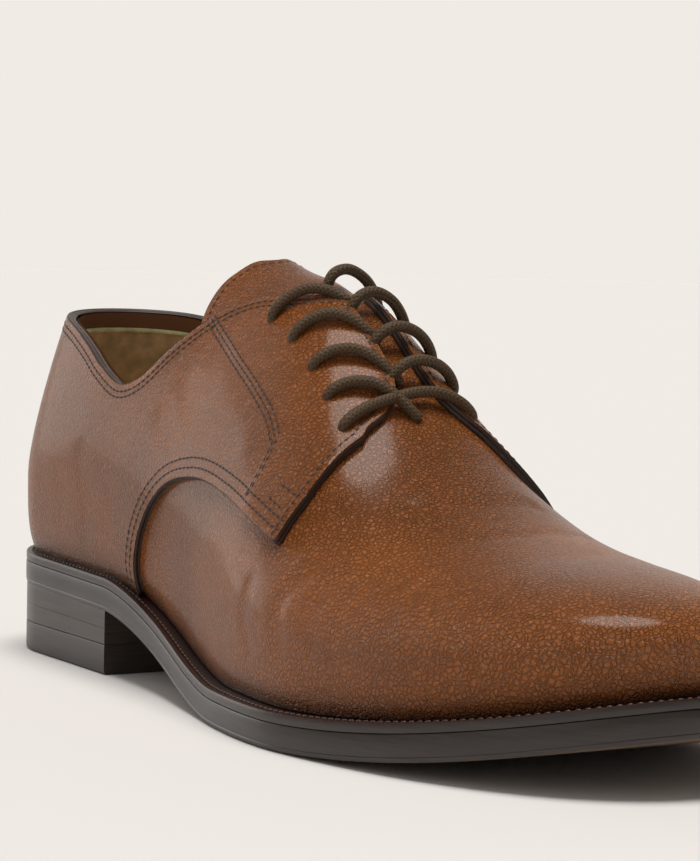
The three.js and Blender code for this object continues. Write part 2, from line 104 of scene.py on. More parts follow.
GIRTH = {
    "at": (0.0, 0.1, 0.22, 0.4, 0.52, 0.66, 0.8, 0.92, 1.0),
    "lateral": (2.0, 2.8, 3.2, 3.0, 3.0, 2.5, 2.4, 2.2, 2.0),
    "medial": (2.0, 2.8, 3.5, 6.0, 5.0, 3.0, 2.4, 2.2, 2.0),
    "height": (22, 23, 24, 25, 22, 18, 15, 13, 12),
    "wall": (0.17, 0.22, 0.3, 0.34, 0.36, 0.48, 0.55, 0.6, 0.6),
    "crown": (0.12, 0.37, 0.5, 0.5, 0.5, 0.55, 0.58, 0.6, 0.6),
}
FAN_HEEL = 0.115
FAN_TOE = 0.87
HEEL_ROUND = 30.0
TOE_ROUND = 0.21 * LAST_LENGTH

# Outer and inner side of the foot.
LATERAL, MEDIAL = -1, 1


def along(table, column, at):
    """Smooth curve through a table's rows, for numbers or arrays."""
    a = np.array(table["at"], float)
    v = np.array(table[column], float)
    s = np.clip(at, a[0], a[-1])
    k = np.clip(np.searchsorted(a, s, side="left") - 1, 0, len(a) - 2)
    before = np.maximum(np.arange(len(a)) - 1, 0)
    after = np.minimum(np.arange(len(a)) + 1, len(a) - 1)
    slope = (v[after] - v[before]) / (a[after] - a[before])
    h = a[k + 1] - a[k]
    t = (s - a[k]) / h
    u = 1 - t
    ends = v[k] * (1 + 2 * t) * u * u + v[k + 1] * t * t * (3 - 2 * t)
    return ends + h * (slope[k] * t * u * u - slope[k + 1] * t * t * u)


def seat_line(x):
    return HEEL_SEAT + (HEEL_BREAST_HEIGHT - HEEL_SEAT) * (x + WELT_BACK) / HEEL_LENGTH


def sole_under(x):
    """Height of the sole's underside along the shoe: heel seat, arch, flat tread, toe spring."""
    x = np.asarray(x, float)
    h = FLAT_START - BREAST
    t = np.clip((x - BREAST) / h, 0, 1)
    arch = (2 * t**3 - 3 * t**2 + 1) * HEEL_BREAST_HEIGHT - 0.1 * h * t * (1 - t) ** 2
    rise = np.maximum(x - FLAT_END, 0) / (LAST_LENGTH + WELT_TOE - FLAT_END)
    return np.where(x < BREAST, seat_line(x), np.where(x < FLAT_START, arch, TOE_SPRING * rise**2))


def welt_top(x):
    return sole_under(x) + SOLE_EDGE


def centre_line(x):
    return along(CENTRE, "shift", np.asarray(x) / LAST_LENGTH) * TOE_SIDE * BALL_WIDTH


def feather_y(x, side):
    """Plan of the feather line, where the upper meets the welt."""
    s = np.asarray(x) / LAST_LENGTH
    width = np.where(side < 0, along(OUTLINE, "lateral", s), along(OUTLINE, "medial", s)) * BALL_WIDTH
    h = np.clip((HEEL_ROUND - x) / HEEL_ROUND, 0, 1)
    t = np.clip((x - LAST_LENGTH + TOE_ROUND) / TOE_ROUND, 0, 1)
    heel = (1 - h**2.1) ** (1 / 2.1)
    toe = (1 - t**2.15) ** (1 / 2.15)
    return centre_line(x) + side * width * heel * toe


def feather_loop(n):
    """Closed loop: heel to toe on the outer side, then back on the inner side."""
    x = LAST_LENGTH / 2 * (1 - np.cos(np.pi * np.arange(n + 1) / n))
    outer = np.stack([x, feather_y(x, LATERAL)], 1)
    inner = np.stack([x, feather_y(x, MEDIAL)], 1)
    return np.concatenate([outer, inner[-2:0:-1]])


def margin_at(x):
    s = np.clip(np.asarray(x) / LAST_LENGTH, 0, 1)
    return np.interp(s, (0.2, 0.5, 0.8, 1), (WELT_BACK, WELT_SIDE, WELT_SIDE, WELT_TOE))


def offset_loop(loop, margin):
    """The loop moved out by a margin in mm, a number or one value for each point."""
    d = np.roll(loop, -1, 0) - np.roll(loop, 1, 0)
    d /= np.linalg.norm(d, axis=1)[:, None]
    return loop + np.stack([d[:, 1], -d[:, 0]], 1) * np.reshape(margin, (-1, 1))


def ridge_at(x):
    return along(RIDGE, "height", np.asarray(x) / LAST_LENGTH) * INSTEP_HEIGHT


def rib_foot(x):
    """Where on the ridge a rib of the last stands: along the shoe, and across it."""
    low, high = FAN_HEEL * LAST_LENGTH, FAN_TOE * LAST_LENGTH
    s = low + 8 * np.log1p(np.exp((x - low) / 8))
    s = high - 8 * np.log1p(np.exp((high - s) / 8))
    s = np.where(s > high - 1, high, np.where(s < low + 1, low, s))
    return s, 0.035 * BALL_WIDTH * np.clip((s - 60) / 100, 0, 1) + centre_line(s)


def ridge_y(x):
    return rib_foot(np.asarray(x, float))[1]


def bezier(a, b, c, d, t):
    u = 1 - t
    return a * u**3 + 3 * b * t * u * u + 3 * c * t * t * u + d * t**3


def skin_points(x, side, v, offset):
    """Points of the last's skin in mm, for stations x and shares v of the way up (below 0.2 is the wall)."""
    x = np.asarray(x, float)
    s, y = rib_foot(x)
    by = feather_y(x, side)
    rho = np.hypot(x - s, by - y)
    ex, ey = (x - s) / rho, (by - y) / rho
    at = x / LAST_LENGTH
    slope = (ridge_at(s + 1) - ridge_at(s - 1)) / 2
    top = ridge_at(s) + offset * np.hypot(1, slope)
    foot = welt_top(x) + CLEAR
    out = np.where(side < 0, along(GIRTH, "lateral", at), along(GIRTH, "medial", at))
    rise, wall, crown = (along(GIRTH, c, at) for c in ("height", "wall", "crown"))
    r = rho + offset
    hip = foot + rise
    reach = crown * (r + out)
    tw = np.clip(v / 0.2, 0, 1)
    tc = np.clip((v - 0.2) / 0.8, 0, 1)
    low = v <= 0.2
    pr = np.where(
        low,
        bezier(r, r + 0.9 * out, r + out, r + out, tw),
        bezier(r + out, r + out, reach, 0 * r, tc),
    )
    pz = np.where(
        low,
        bezier(foot, foot + 0.25 * rise, foot + 0.5 * rise, hip, tw),
        bezier(hip, hip + wall * (top - hip), top + slope * ex * reach, top, tc),
    )
    return np.stack([s + ex * pr, y + ey * pr, pz], -1)


class Skin:
    """A fine grid over the last: rows run heel to toe, columns from outer side over the ridge to inner."""

    def __init__(self, stations, rows):
        x = LAST_LENGTH / 2 * (1 - np.cos(np.pi * np.arange(stations + 1) / stations))
        x = x[:, None]
        v = np.linspace(0, 1, rows + 1)[None, :]
        outer = [skin_points(x + 0 * v, LATERAL, v + 0 * x, d) for d in (0.0, 1.0)]
        inner = [skin_points(x + 0 * v, MEDIAL, v + 0 * x, d)[:, -2::-1] for d in (0.0, 1.0)]
        self.at = np.concatenate([outer[0], inner[0]], 1)
        self.way = np.concatenate([outer[1], inner[1]], 1) - self.at
        self.side = np.concatenate([0 * v - 1, 0 * v[:, :-1] + 1], 1) + 0 * x

    def moved(self, offset):
        return self.at + self.way * np.asarray(offset)[..., None]


def smooth_line(rows, count=160):
    """Curve through points with even steps along it."""
    p = np.array(rows, float)
    t = np.concatenate([[0], np.cumsum(np.linalg.norm(np.diff(p, axis=0), axis=1) ** 0.5)])
    ghost = np.concatenate([[2 * p[0] - p[1]], p, [2 * p[-1] - p[-2]]])
    knots = np.concatenate([[2 * t[0] - t[1]], t, [2 * t[-1] - t[-2]]])
    out = []
    for i in range(len(p) - 1):
        a, b, c, d = ghost[i : i + 4]
        ta, tb, tc, td = knots[i : i + 4]
        m1 = (tc - tb) * ((b - a) / (tb - ta) - (c - a) / (tc - ta) + (c - b) / (tc - tb))
        m2 = (tc - tb) * ((c - b) / (tc - tb) - (d - b) / (td - tb) + (d - c) / (td - tc))
        u = np.linspace(0, 1, 24, endpoint=False)[:, None]
        out.append(
            (2 * u**3 - 3 * u**2 + 1) * b
            + (u**3 - 2 * u**2 + u) * m1
            + (3 * u**2 - 2 * u**3) * c
            + (u**3 - u**2) * m2
        )
    return even_line(np.concatenate([*out, p[-1:]]), count)


def even_line(p, count):
    length = np.concatenate([[0], np.cumsum(np.linalg.norm(np.diff(p, axis=0), axis=1))])
    want = np.linspace(0, length[-1], count)
    return np.stack([np.interp(want, length, p[:, i]) for i in range(p.shape[1])], 1)


def signed_distance(points, outline):
    """Distance in a plane to a closed outline, negative inside it."""
    p = points.reshape(-1, 2)
    a = np.asarray(outline, float)
    b = np.roll(a, -1, 0)
    best = np.full(len(p), 1e9)
    inside = np.zeros(len(p), bool)
    for (ax, ay), (bx, by) in zip(a, b):
        dx, dy = bx - ax, by - ay
        t = np.clip(((p[:, 0] - ax) * dx + (p[:, 1] - ay) * dy) / max(dx * dx + dy * dy, 1e-9), 0, 1)
        best = np.minimum(best, (p[:, 0] - ax - t * dx) ** 2 + (p[:, 1] - ay - t * dy) ** 2)
        over = (ay > p[:, 1]) != (by > p[:, 1])
        cross = ax + (p[:, 1] - ay) * dx / (dy if abs(dy) > 1e-12 else 1e-12)
        inside ^= over & (p[:, 0] < cross)
    return (np.sqrt(best) * np.where(inside, -1, 1)).reshape(points.shape[:-1])


# Side view of the collar line and of the quarters' front edge, and plan of the gap and the tongue.
DROP = COLLAR_BACK - COLLAR_DIP
CLIMB = FACING_TOP - COLLAR_DIP
COLLAR_LINE = smooth_line(
    [
        (-0.15 * LAST_LENGTH, SEAT_TOP + COLLAR_BACK),
        (0.03 * LAST_LENGTH, SEAT_TOP + COLLAR_BACK),
        (0.12 * LAST_LENGTH, SEAT_TOP + COLLAR_BACK - 0.22 * DROP),
        (0.175 * LAST_LENGTH, SEAT_TOP + COLLAR_BACK - 0.48 * DROP),
        (0.225 * LAST_LENGTH, SEAT_TOP + COLLAR_DIP + 0.2 * DROP),
        (0.27 * LAST_LENGTH, SEAT_TOP + COLLAR_DIP),
        (0.305 * LAST_LENGTH, SEAT_TOP + COLLAR_DIP + 0.1 * CLIMB),
        (0.345 * LAST_LENGTH, SEAT_TOP + COLLAR_DIP + 0.45 * CLIMB),
        (0.385 * LAST_LENGTH, SEAT_TOP + COLLAR_DIP + 0.76 * CLIMB),
        (0.43 * LAST_LENGTH, SEAT_TOP + FACING_TOP - 1),
        (0.472 * LAST_LENGTH, SEAT_TOP + FACING_TOP),
        (0.6 * LAST_LENGTH, SEAT_TOP + FACING_TOP + 2),
    ],
    400,
)
CORNER = (0.655 * LAST_LENGTH, 0.455 * INSTEP_HEIGHT)
QUARTER_CURVE = smooth_line(
    [
        (0.335 * LAST_LENGTH, -5),
        (0.332 * LAST_LENGTH, 0.18 * INSTEP_HEIGHT),
        (0.335 * LAST_LENGTH, 0.3 * INSTEP_HEIGHT),
        (0.355 * LAST_LENGTH, 0.42 * INSTEP_HEIGHT),
        (0.4 * LAST_LENGTH, 0.53 * INSTEP_HEIGHT),
        (0.46 * LAST_LENGTH, 0.565 * INSTEP_HEIGHT),
        (0.54 * LAST_LENGTH, 0.54 * INSTEP_HEIGHT),
        CORNER,
    ],
    120,
)
FACING_FRONT = [
    (CORNER[0] - 1, CORNER[1] + 0.1 * INSTEP_HEIGHT),
    (0.64 * LAST_LENGTH, 0.66 * INSTEP_HEIGHT),
    (0.63 * LAST_LENGTH, 0.8 * INSTEP_HEIGHT),
]
QUARTER_SIDE = [
    (-0.15 * LAST_LENGTH, -5),
    *QUARTER_CURVE,
    *FACING_FRONT,
    (0.6 * LAST_LENGTH, 2 * INSTEP_HEIGHT),
    (-0.15 * LAST_LENGTH, 2 * INSTEP_HEIGHT),
]
GAP_FRONT = 0.612 * LAST_LENGTH
TONGUE_FRONT = 0.6 * LAST_LENGTH
TONGUE_TOP = 0.377 * LAST_LENGTH
TONGUE_LOW = 0.64 * INSTEP_HEIGHT


def gap_edge(side, step=0.0):
    """Edge of a facing along the gap, in plan."""
    g = LACE_GAP / 2 + step
    rows = [
        (0.2 * LAST_LENGTH, g + 2),
        (0.42 * LAST_LENGTH, g + 0.6),
        (0.5 * LAST_LENGTH, g),
        (GAP_FRONT - 8, g),
        (GAP_FRONT - 3, g + 1),
        (GAP_FRONT + 1, g + 3.5),
        (GAP_FRONT + 4, g + 8),
        (GAP_FRONT + 7, g + 16),
        (GAP_FRONT + 30, g + 30),
    ]
    return smooth_line([(x, float(ridge_y(x)) + side * y) for x, y in rows], 140)


GAP_PLAN = np.concatenate([gap_edge(LATERAL), gap_edge(MEDIAL)[::-1]])


def tongue_plan(grow=0.0):
    w = TONGUE_WIDTH / 2 + grow
    rows = [
        (TONGUE_TOP, 0),
        (TONGUE_TOP + 0.4, 0.5 * w),
        (TONGUE_TOP + 2, 0.82 * w),
        (TONGUE_TOP + 7, 0.97 * w),
        (TONGUE_TOP + 20, w),
        (0.5 * LAST_LENGTH, 0.93 * w),
        (TONGUE_FRONT - 6, 0.78 * w),
        (TONGUE_FRONT, 0.7 * w),
    ]
    half = smooth_line(rows, 80)
    mid = ridge_y(np.maximum(half[:, 0], 60))
    return np.concatenate(
        [np.stack([half[:, 0], mid - half[:, 1]], 1), np.stack([half[:, 0], mid + half[:, 1]], 1)[::-1]]
    )


def collar_height(x):
    return np.interp(x, COLLAR_LINE[:, 0], COLLAR_LINE[:, 1])


# Where the last's own zero lies in the row frame.
SOLE_LOW, SOLE_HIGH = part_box("outsole")
FINE_LOOP = feather_loop(300)
SOLE_LOOP = offset_loop(FINE_LOOP, margin_at(FINE_LOOP[:, 0]))
SHIFT = np.array(
    [
        (SOLE_LOW.x + SOLE_HIGH.x) / 2 / MM - (SOLE_LOOP[:, 0].min() + SOLE_LOOP[:, 0].max()) / 2,
        (SOLE_LOW.y + SOLE_HIGH.y) / 2 / MM - (SOLE_LOOP[:, 1].min() + SOLE_LOOP[:, 1].max()) / 2,
        0.0,
    ]
)


def placed(points):
    """Millimetres on the last to metres in the row frame."""
    return (np.asarray(points, float) + SHIFT) * MM


def unplaced(point):
    return np.array(point) / MM - SHIFT


# What one piece leaves for the next: the skin grid, rims, trees and materials.
MADE = {}


# Mesh making.
def new_object(name, vertices, faces, replaced=(), smooth=True):
    mesh = bpy.data.meshes.new(name)
    mesh.from_pydata([tuple(v) for v in vertices], [], [tuple(f) for f in faces])
    mesh.validate()
    if smooth:
        mesh.shade_smooth()
    return link(name, mesh, replaced)


def link(name, mesh, replaced=()):
    o = bpy.data.objects.new(name, mesh)
    bpy.context.scene.collection.objects.link(o)
    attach(o, "root")
    if replaced:
        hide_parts(*replaced)
    return o


def cut_grid(points, keep):
    """The part of a grid of points where keep is negative, cut cleanly along its zero line."""
    inside = keep < 0
    rows, cols = keep.shape
    index = np.full((rows, cols), -1)
    index[inside] = np.arange(inside.sum())
    verts = list(points[inside])
    full = inside[:-1, :-1] & inside[1:, :-1] & inside[1:, 1:] & inside[:-1, 1:]
    some = inside[:-1, :-1] | inside[1:, :-1] | inside[1:, 1:] | inside[:-1, 1:]
    faces = [
        (index[r, c], index[r + 1, c], index[r + 1, c + 1], index[r, c + 1]) for r, c in np.argwhere(full)
    ]
    cuts = {}

    def cut(a, b):
        key = (min(a, b), max(a, b))
        if key not in cuts:
            fa, fb = keep[a], keep[b]
            t = fa / (fa - fb)
            cuts[key] = len(verts)
            verts.append(points[a] * (1 - t) + points[b] * t)
        return cuts[key]

    for r, c in np.argwhere(some & ~full):
        ring = [(r, c), (r + 1, c), (r + 1, c + 1), (r, c + 1)]
        face = []
        for k in range(4):
            a, b = ring[k], ring[(k + 1) % 4]
            if inside[a]:
                face.append(index[a])
            if inside[a] != inside[b]:
                face.append(cut(a, b))
        if len(face) > 2:
            faces.append(tuple(face))
    return np.array(verts), faces


def rim_loops(bm):
    """Ordered rims of a sheet: lists of (place, normal)."""
    after = {}
    for e in bm.edges:
        if e.is_boundary:
            a, b = e.verts
            ring = list(e.link_faces[0].verts)
            if ring[(ring.index(a) + 1) % len(ring)] is not b:
                a, b = b, a
            after[a] = b
    loops = []
    while after:
        start, v = next(iter(after.items()))
        loop = [start]
        del after[start]
        while v in after:
            loop.append(v)
            v = after.pop(v)
        loops.append([(w.co.copy(), w.normal.copy()) for w in loop])
    return sorted(loops, key=len, reverse=True)


def sheet_mesh(name, points, keep, edge=(), inward=False):
    """A leather or cloth panel cut from a grid; edge rows (out, down) in mm roll its rim over."""
    verts, faces = cut_grid(placed(points), keep)
    mesh = bpy.data.meshes.new(name)
    mesh.from_pydata(verts.tolist(), [], [tuple(int(i) for i in f) for f in faces])
    bm = bmesh.new()
    bm.from_mesh(mesh)
    bmesh.ops.remove_doubles(bm, verts=bm.verts, dist=2e-5)
    bmesh.ops.dissolve_degenerate(bm, edges=bm.edges, dist=1e-6)
    bm.normal_update()
    if inward:
        bmesh.ops.reverse_faces(bm, faces=bm.faces)
        bm.normal_update()
    MADE[name + "_rims"] = rim_loops(bm)
    MADE[name + "_tree"] = BVHTree.FromBMesh(bm)
    if edge:
        roll_edge(bm, edge)
    bm.to_mesh(mesh)
    bm.free()
    mesh.shade_smooth()
    return mesh


def roll_edge(bm, rows):
    """Rim rows out and down from the edge; all but the first take the second material."""
    rim = [e for e in bm.edges if e.is_boundary and e.calc_length() > 1e-7]
    out = {}
    for e in rim:
        f = e.link_faces[0]
        mid = (e.verts[0].co + e.verts[1].co) / 2
        d = (e.verts[1].co - e.verts[0].co).cross(f.normal).normalized()
        if d.dot(f.calc_center_median() - mid) > 0:
            d = -d
        for v in e.verts:
            out[v] = out.get(v, Vector()) + d * e.calc_length()
    base = {v: (v.co.copy(), out[v].normalized(), v.normal.copy()) for v in out}
    ring = {v: v for v in out}
    for k, (away, down) in enumerate(rows):
        new = {}
        for v, (co, o, n) in base.items():
            new[v] = bm.verts.new(co + o * away * MM - n * down * MM)
        for e in rim:
            a, b = e.verts
            f = e.link_faces[0]
            order = [v for v in f.verts]
            i = order.index(a)
            first, second = (a, b) if order[(i + 1) % len(order)] is b else (b, a)
            face = bm.faces.new((ring[second], ring[first], new[first], new[second]))
            face.material_index = min(k, 1)
        ring = new


def tube(points, radius, sides=12, squash=1.0, ends=True):
    """Round cord through points in metres: vertices, faces and (length, turn) for each vertex."""
    p = np.asarray(points, float)
    n = len(p)
    r = np.broadcast_to(np.asarray(radius, float), (n,))
    t = np.gradient(p, axis=0)
    t /= np.linalg.norm(t, axis=1)[:, None]
    side = np.cross(t[0], (0, 0, 1.0))
    if np.linalg.norm(side) < 1e-3:
        side = np.cross(t[0], (0, 1.0, 0))
    verts, uv, faces = [], [], []
    walked = 0.0
    for i in range(n):
        side = side - t[i] * side.dot(t[i])
        side /= np.linalg.norm(side)
        up = np.cross(side, t[i])
        if i:
            walked += np.linalg.norm(p[i] - p[i - 1])
        for k in range(sides):
            a = 2 * math.pi * k / sides
            verts.append(p[i] + r[i] * (math.cos(a) * side + math.sin(a) * squash * up))
            uv.append((walked, k / sides))
    for i in range(n - 1):
        for k in range(sides):
            a, b = i * sides + k, i * sides + (k + 1) % sides
            faces.append((a, a + sides, b + sides, b))
    if ends:
        faces.append(tuple(range(sides)))
        faces.append(tuple((n - 1) * sides + k for k in reversed(range(sides))))
    return verts, faces, uv


def joined(name, parts, replaced=()):
    """One object from several (vertices, faces, uv) parts; uv goes to an attribute for cord patterns."""
    verts, faces, uv = [], [], []
    for v, f, w in parts:
        start = len(verts)
        verts.extend(v)
        faces.extend(tuple(int(i) + start for i in q) for q in f)
        uv.extend(w)
    o = new_object(name, verts, faces, replaced)
    if uv and len(uv) == len(verts):
        spread = o.data.attributes.new("cord", "FLOAT_VECTOR", "POINT")
        spread.data.foreach_set("vector", np.array([(a, b, 0) for a, b in uv], np.float32).ravel())
    return o


def side_hits(tree, line, side):
    """Side-view points (x, z) in mm laid on a surface: places and outward normals in metres."""
    out = []
    for x, z in line:
        start = Vector(placed((x, side * 150.0, z)))
        hit, normal, _, _ = tree.ray_cast(start, Vector((0, -side, 0)))
        if hit is not None:
            out.append((hit, normal))
    return out


def beside(tree, hits, away):
    """A line on the surface that runs beside another at a distance in mm, to its left seen from outside."""
    hits = even_hits(hits, 0.8)
    p = smoothed(np.array([h[0] for h in hits]), 3)
    t = smoothed(np.gradient(p, axis=0), 2)
    out = []
    for co, (_, n), d in zip(p, hits, t):
        d = Vector(d).normalized()
        q = Vector(co) + n.cross(d) * away * MM
        at, normal, _, _ = tree.find_nearest(q)
        if at is not None:
            out.append((at, normal if normal.dot(n) > 0 else -normal))
    return out


def smoothed(rows, passes):
    rows = rows.copy()
    for _ in range(passes):
        rows[1:-1] = (rows[:-2] + 2 * rows[1:-1] + rows[2:]) / 4
    return rows


def even_hits(hits, step):
    """The same line with even steps in mm."""
    p = np.array([h[0] for h in hits])
    n = np.array([h[1] for h in hits])
    length = np.concatenate([[0], np.cumsum(np.linalg.norm(np.diff(p, axis=0), axis=1))])
    count = max(int(length[-1] / (step * MM)), 1)
    want = np.linspace(0, length[-1], count + 1)
    q = np.stack([np.interp(want, length, p[:, i]) for i in range(3)], 1)
    m = np.stack([np.interp(want, length, n[:, i]) for i in range(3)], 1)
    return [(Vector(a), Vector(b).normalized()) for a, b in zip(q, m)]


def stitch_part(hits, pitch, width, sink=0.12, share=0.8):
    """Thread lying along a line: each stitch a small rounded bar whose ends dip into the leather."""
    marks = even_hits(hits, pitch)
    length = pitch * share
    verts, faces = [], []
    rings = ((-0.5, 0.35, -0.6), (-0.36, 0.9, 0.0), (-0.1, 1.0, 0.25))
    rings += ((0.16, 1.0, 0.25), (0.38, 0.85, 0.0), (0.5, 0.3, -0.6))
    for (a, na), (b, nb) in zip(marks, marks[1:]):
        mid, n = (a + b) / 2, (na + nb).normalized()
        d = (b - a).normalized()
        s = n.cross(d).normalized()
        start = len(verts)
        for way, fat, lift in rings:
            c = mid + d * way * length * MM + n * (lift * 0.4 * width - sink) * MM
            for k in range(6):
                t = 2 * math.pi * k / 6
                verts.append(c + (s * math.cos(t) * 0.5 + n * math.sin(t) * 0.45) * width * fat * MM)
        for i in range(len(rings) - 1):
            for k in range(6):
                p, q = start + i * 6 + k, start + i * 6 + (k + 1) % 6
                faces.append((p, p + 6, q + 6, q))
        faces.append(tuple(start + k for k in range(6)))
        faces.append(tuple(start + 6 * (len(rings) - 1) + k for k in reversed(range(6))))
    return verts, faces, []


# Materials.
def shader(name):
    mat = bpy.data.materials.new(name)
    mat.use_nodes = True
    nodes = mat.node_tree.nodes
    return mat, nodes, mat.node_tree.links, nodes["Principled BSDF"]


def node(nodes, kind, **values):
    n = nodes.new(kind)
    for key, value in values.items():
        if key in n.inputs:
            n.inputs[key].default_value = value
        else:
            setattr(n, key, value)
    return n


def texture(nodes, links, kind, place, **values):
    n = node(nodes, kind, **values)
    links.new(place, n.inputs["Vector"])
    return n


def add_bump(nodes, links, bsdf, height, strength, distance):
    n = node(nodes, "ShaderNodeBump", Strength=strength, Distance=distance)
    links.new(height, n.inputs["Height"])
    links.new(n.outputs["Normal"], bsdf.inputs["Normal"])


def math_node(nodes, links, operation, a, b):
    n = nodes.new("ShaderNodeMath")
    n.operation = operation
    for k, value in enumerate((a, b)):
        if hasattr(value, "links"):
            links.new(value, n.inputs[k])
        else:
            n.inputs[k].default_value = value
    return n.outputs[0]


def mix_colour(nodes, links, share, a, b):
    n = nodes.new("ShaderNodeMix")
    n.data_type = "RGBA"
    for socket, value in ((n.inputs[0], share), (n.inputs[6], a), (n.inputs[7], b)):
        if hasattr(value, "links"):
            links.new(value, socket)
        else:
            socket.default_value = (*value, 1.0) if isinstance(value, tuple) and len(value) == 3 else value
    return n.outputs[2]


def ramp(nodes, links, source, low, high):
    n = nodes.new("ShaderNodeMapRange")
    n.inputs["From Min"].default_value = low
    n.inputs["From Max"].default_value = high
    links.new(source, n.inputs["Value"])
    return n.outputs["Result"]


def smooth_ramp(nodes, links, source, low, high):
    result = ramp(nodes, links, source, low, high)
    result.node.interpolation_type = "SMOOTHSTEP"
    return result


def spot(nodes):
    return nodes.new("ShaderNodeTexCoord").outputs["Object"]


def dark(colour, share):
    return tuple(c * share for c in colour)


def grained_leather(name, colour, grain, gloss):
    """Pebbled full-grain leather: cells of two sizes with fine pores, in a tone that drifts over the shoe,
    with painted shade in the grain's valleys and along the welt.
    """
    mat, nodes, links, bsdf = shader(name)
    place = spot(nodes)
    wobble = texture(nodes, links, "ShaderNodeTexNoise", place, Scale=240.0, Detail=2.0)
    bend = nodes.new("ShaderNodeVectorMath")
    bend.operation = "MULTIPLY_ADD"
    links.new(wobble.outputs["Color"], bend.inputs[0])
    bend.inputs[1].default_value = (0.002,) * 3
    links.new(place, bend.inputs[2])
    def pebbles(scale):
        n = texture(nodes, links, "ShaderNodeTexVoronoi", bend.outputs[0], Scale=scale / (grain * MM))
        n.inputs["Randomness"].default_value = 1.0
        n.feature = "DISTANCE_TO_EDGE"
        return n

    cells = pebbles(1.0)
    small = pebbles(2.1)
    pores = texture(nodes, links, "ShaderNodeTexNoise", place, Scale=4.0 / (grain * MM), Detail=3.0)
    soft = smooth_ramp(nodes, links, cells.outputs["Distance"], 0.0, 0.2)
    fine = smooth_ramp(nodes, links, small.outputs["Distance"], 0.0, 0.3)
    height = math_node(nodes, links, "MULTIPLY_ADD", fine, 0.3)
    links.new(soft, height.node.inputs[2])
    rough = math_node(nodes, links, "MULTIPLY_ADD", pores.outputs["Fac"], 0.25)
    links.new(height, rough.node.inputs[2])
    add_bump(nodes, links, bsdf, rough, 1.0, 0.0005)
    clouds = texture(nodes, links, "ShaderNodeTexNoise", place, Scale=24.0, Detail=4.0)
    cloud = smooth_ramp(nodes, links, clouds.outputs["Fac"], 0.3, 0.7)
    base = mix_colour(nodes, links, cloud, dark(colour, 0.78), tuple(min(c * 1.16, 1) for c in colour))
    # Painted shade: the grain's valleys between the pebbles are coloured darker.
    painted_valley_shade = math_node(nodes, links, "SUBTRACT", 1.0, soft)
    painted_valley_shade = math_node(nodes, links, "MULTIPLY", painted_valley_shade, 0.34)
    base = mix_colour(nodes, links, painted_valley_shade, base, dark(colour, 0.3))
    # Painted shade: the colour darkens towards the welt, where the upper meets the sole.
    low = nodes.new("ShaderNodeAttribute")
    low.attribute_name = "burnish"
    share = math_node(nodes, links, "MULTIPLY", low.outputs["Fac"], 0.85)
    base = mix_colour(nodes, links, share, base, dark(colour, 0.14))
    links.new(base, bsdf.inputs["Base Color"])
    roughness = math_node(nodes, links, "MULTIPLY_ADD", cloud, 0.1)
    roughness.node.inputs[2].default_value = gloss
    links.new(roughness, bsdf.inputs["Roughness"])
    bsdf.inputs["Specular IOR Level"].default_value = 0.3
    bsdf.inputs["Coat Weight"].default_value = 0.2
    bsdf.inputs["Coat Roughness"].default_value = 0.16
    return mat


def plain_leather(name, colour, roughness):
    mat, nodes, links, bsdf = shader(name)
    place = spot(nodes)
    grain = texture(nodes, links, "ShaderNodeTexNoise", place, Scale=900.0, Detail=6.0)
    patch = texture(nodes, links, "ShaderNodeTexNoise", place, Scale=60.0, Detail=4.0)
    base = mix_colour(nodes, links, patch.outputs["Fac"], dark(colour, 0.75), tuple(c * 1.2 for c in colour))
    links.new(base, bsdf.inputs["Base Color"])
    add_bump(nodes, links, bsdf, grain.outputs["Fac"], 0.5, 0.0001)
    bsdf.inputs["Roughness"].default_value = roughness
    return mat


def waxed_edge(name, colour, roughness):
    """Cut edge of stacked sole leather, stained and waxed, with faint lines along its layers."""
    mat, nodes, links, bsdf = shader(name)
    place = spot(nodes)
    layers = nodes.new("ShaderNodeMapping")
    layers.inputs["Scale"].default_value = (1.0, 1.0, 16.0)
    links.new(place, layers.inputs["Vector"])
    streak = texture(nodes, links, "ShaderNodeTexNoise", layers.outputs["Vector"], Scale=70.0, Detail=6.0)
    share = ramp(nodes, links, streak.outputs["Fac"], 0.3, 0.75)
    base = mix_colour(nodes, links, share, dark(colour, 0.72), tuple(c * 1.3 for c in colour))
    links.new(base, bsdf.inputs["Base Color"])
    add_bump(nodes, links, bsdf, streak.outputs["Fac"], 0.35, 0.00012)
    bsdf.inputs["Roughness"].default_value = roughness
    return mat


def cloth(name, colour):
    mat, nodes, links, bsdf = shader(name)
    place = spot(nodes)
    nap = texture(nodes, links, "ShaderNodeTexNoise", place, Scale=1400.0, Detail=5.0, Roughness=0.7)
    tuft = texture(nodes, links, "ShaderNodeTexNoise", place, Scale=240.0, Detail=4.0)
    share = ramp(nodes, links, tuft.outputs["Fac"], 0.3, 0.7)
    base = mix_colour(nodes, links, share, dark(colour, 0.72), tuple(c * 1.18 for c in colour))
    links.new(base, bsdf.inputs["Base Color"])
    height = math_node(nodes, links, "ADD", nap.outputs["Fac"], tuft.outputs["Fac"])
    add_bump(nodes, links, bsdf, height, 0.8, 0.0004)
    bsdf.inputs["Roughness"].default_value = 0.95
    bsdf.inputs["Sheen Weight"].default_value = 0.3
    return mat


# Braid of the lace: length of one turn of a plait in metres, and plaits round the cord.
BRAID_PITCH = 0.0013
PLAITS = 6


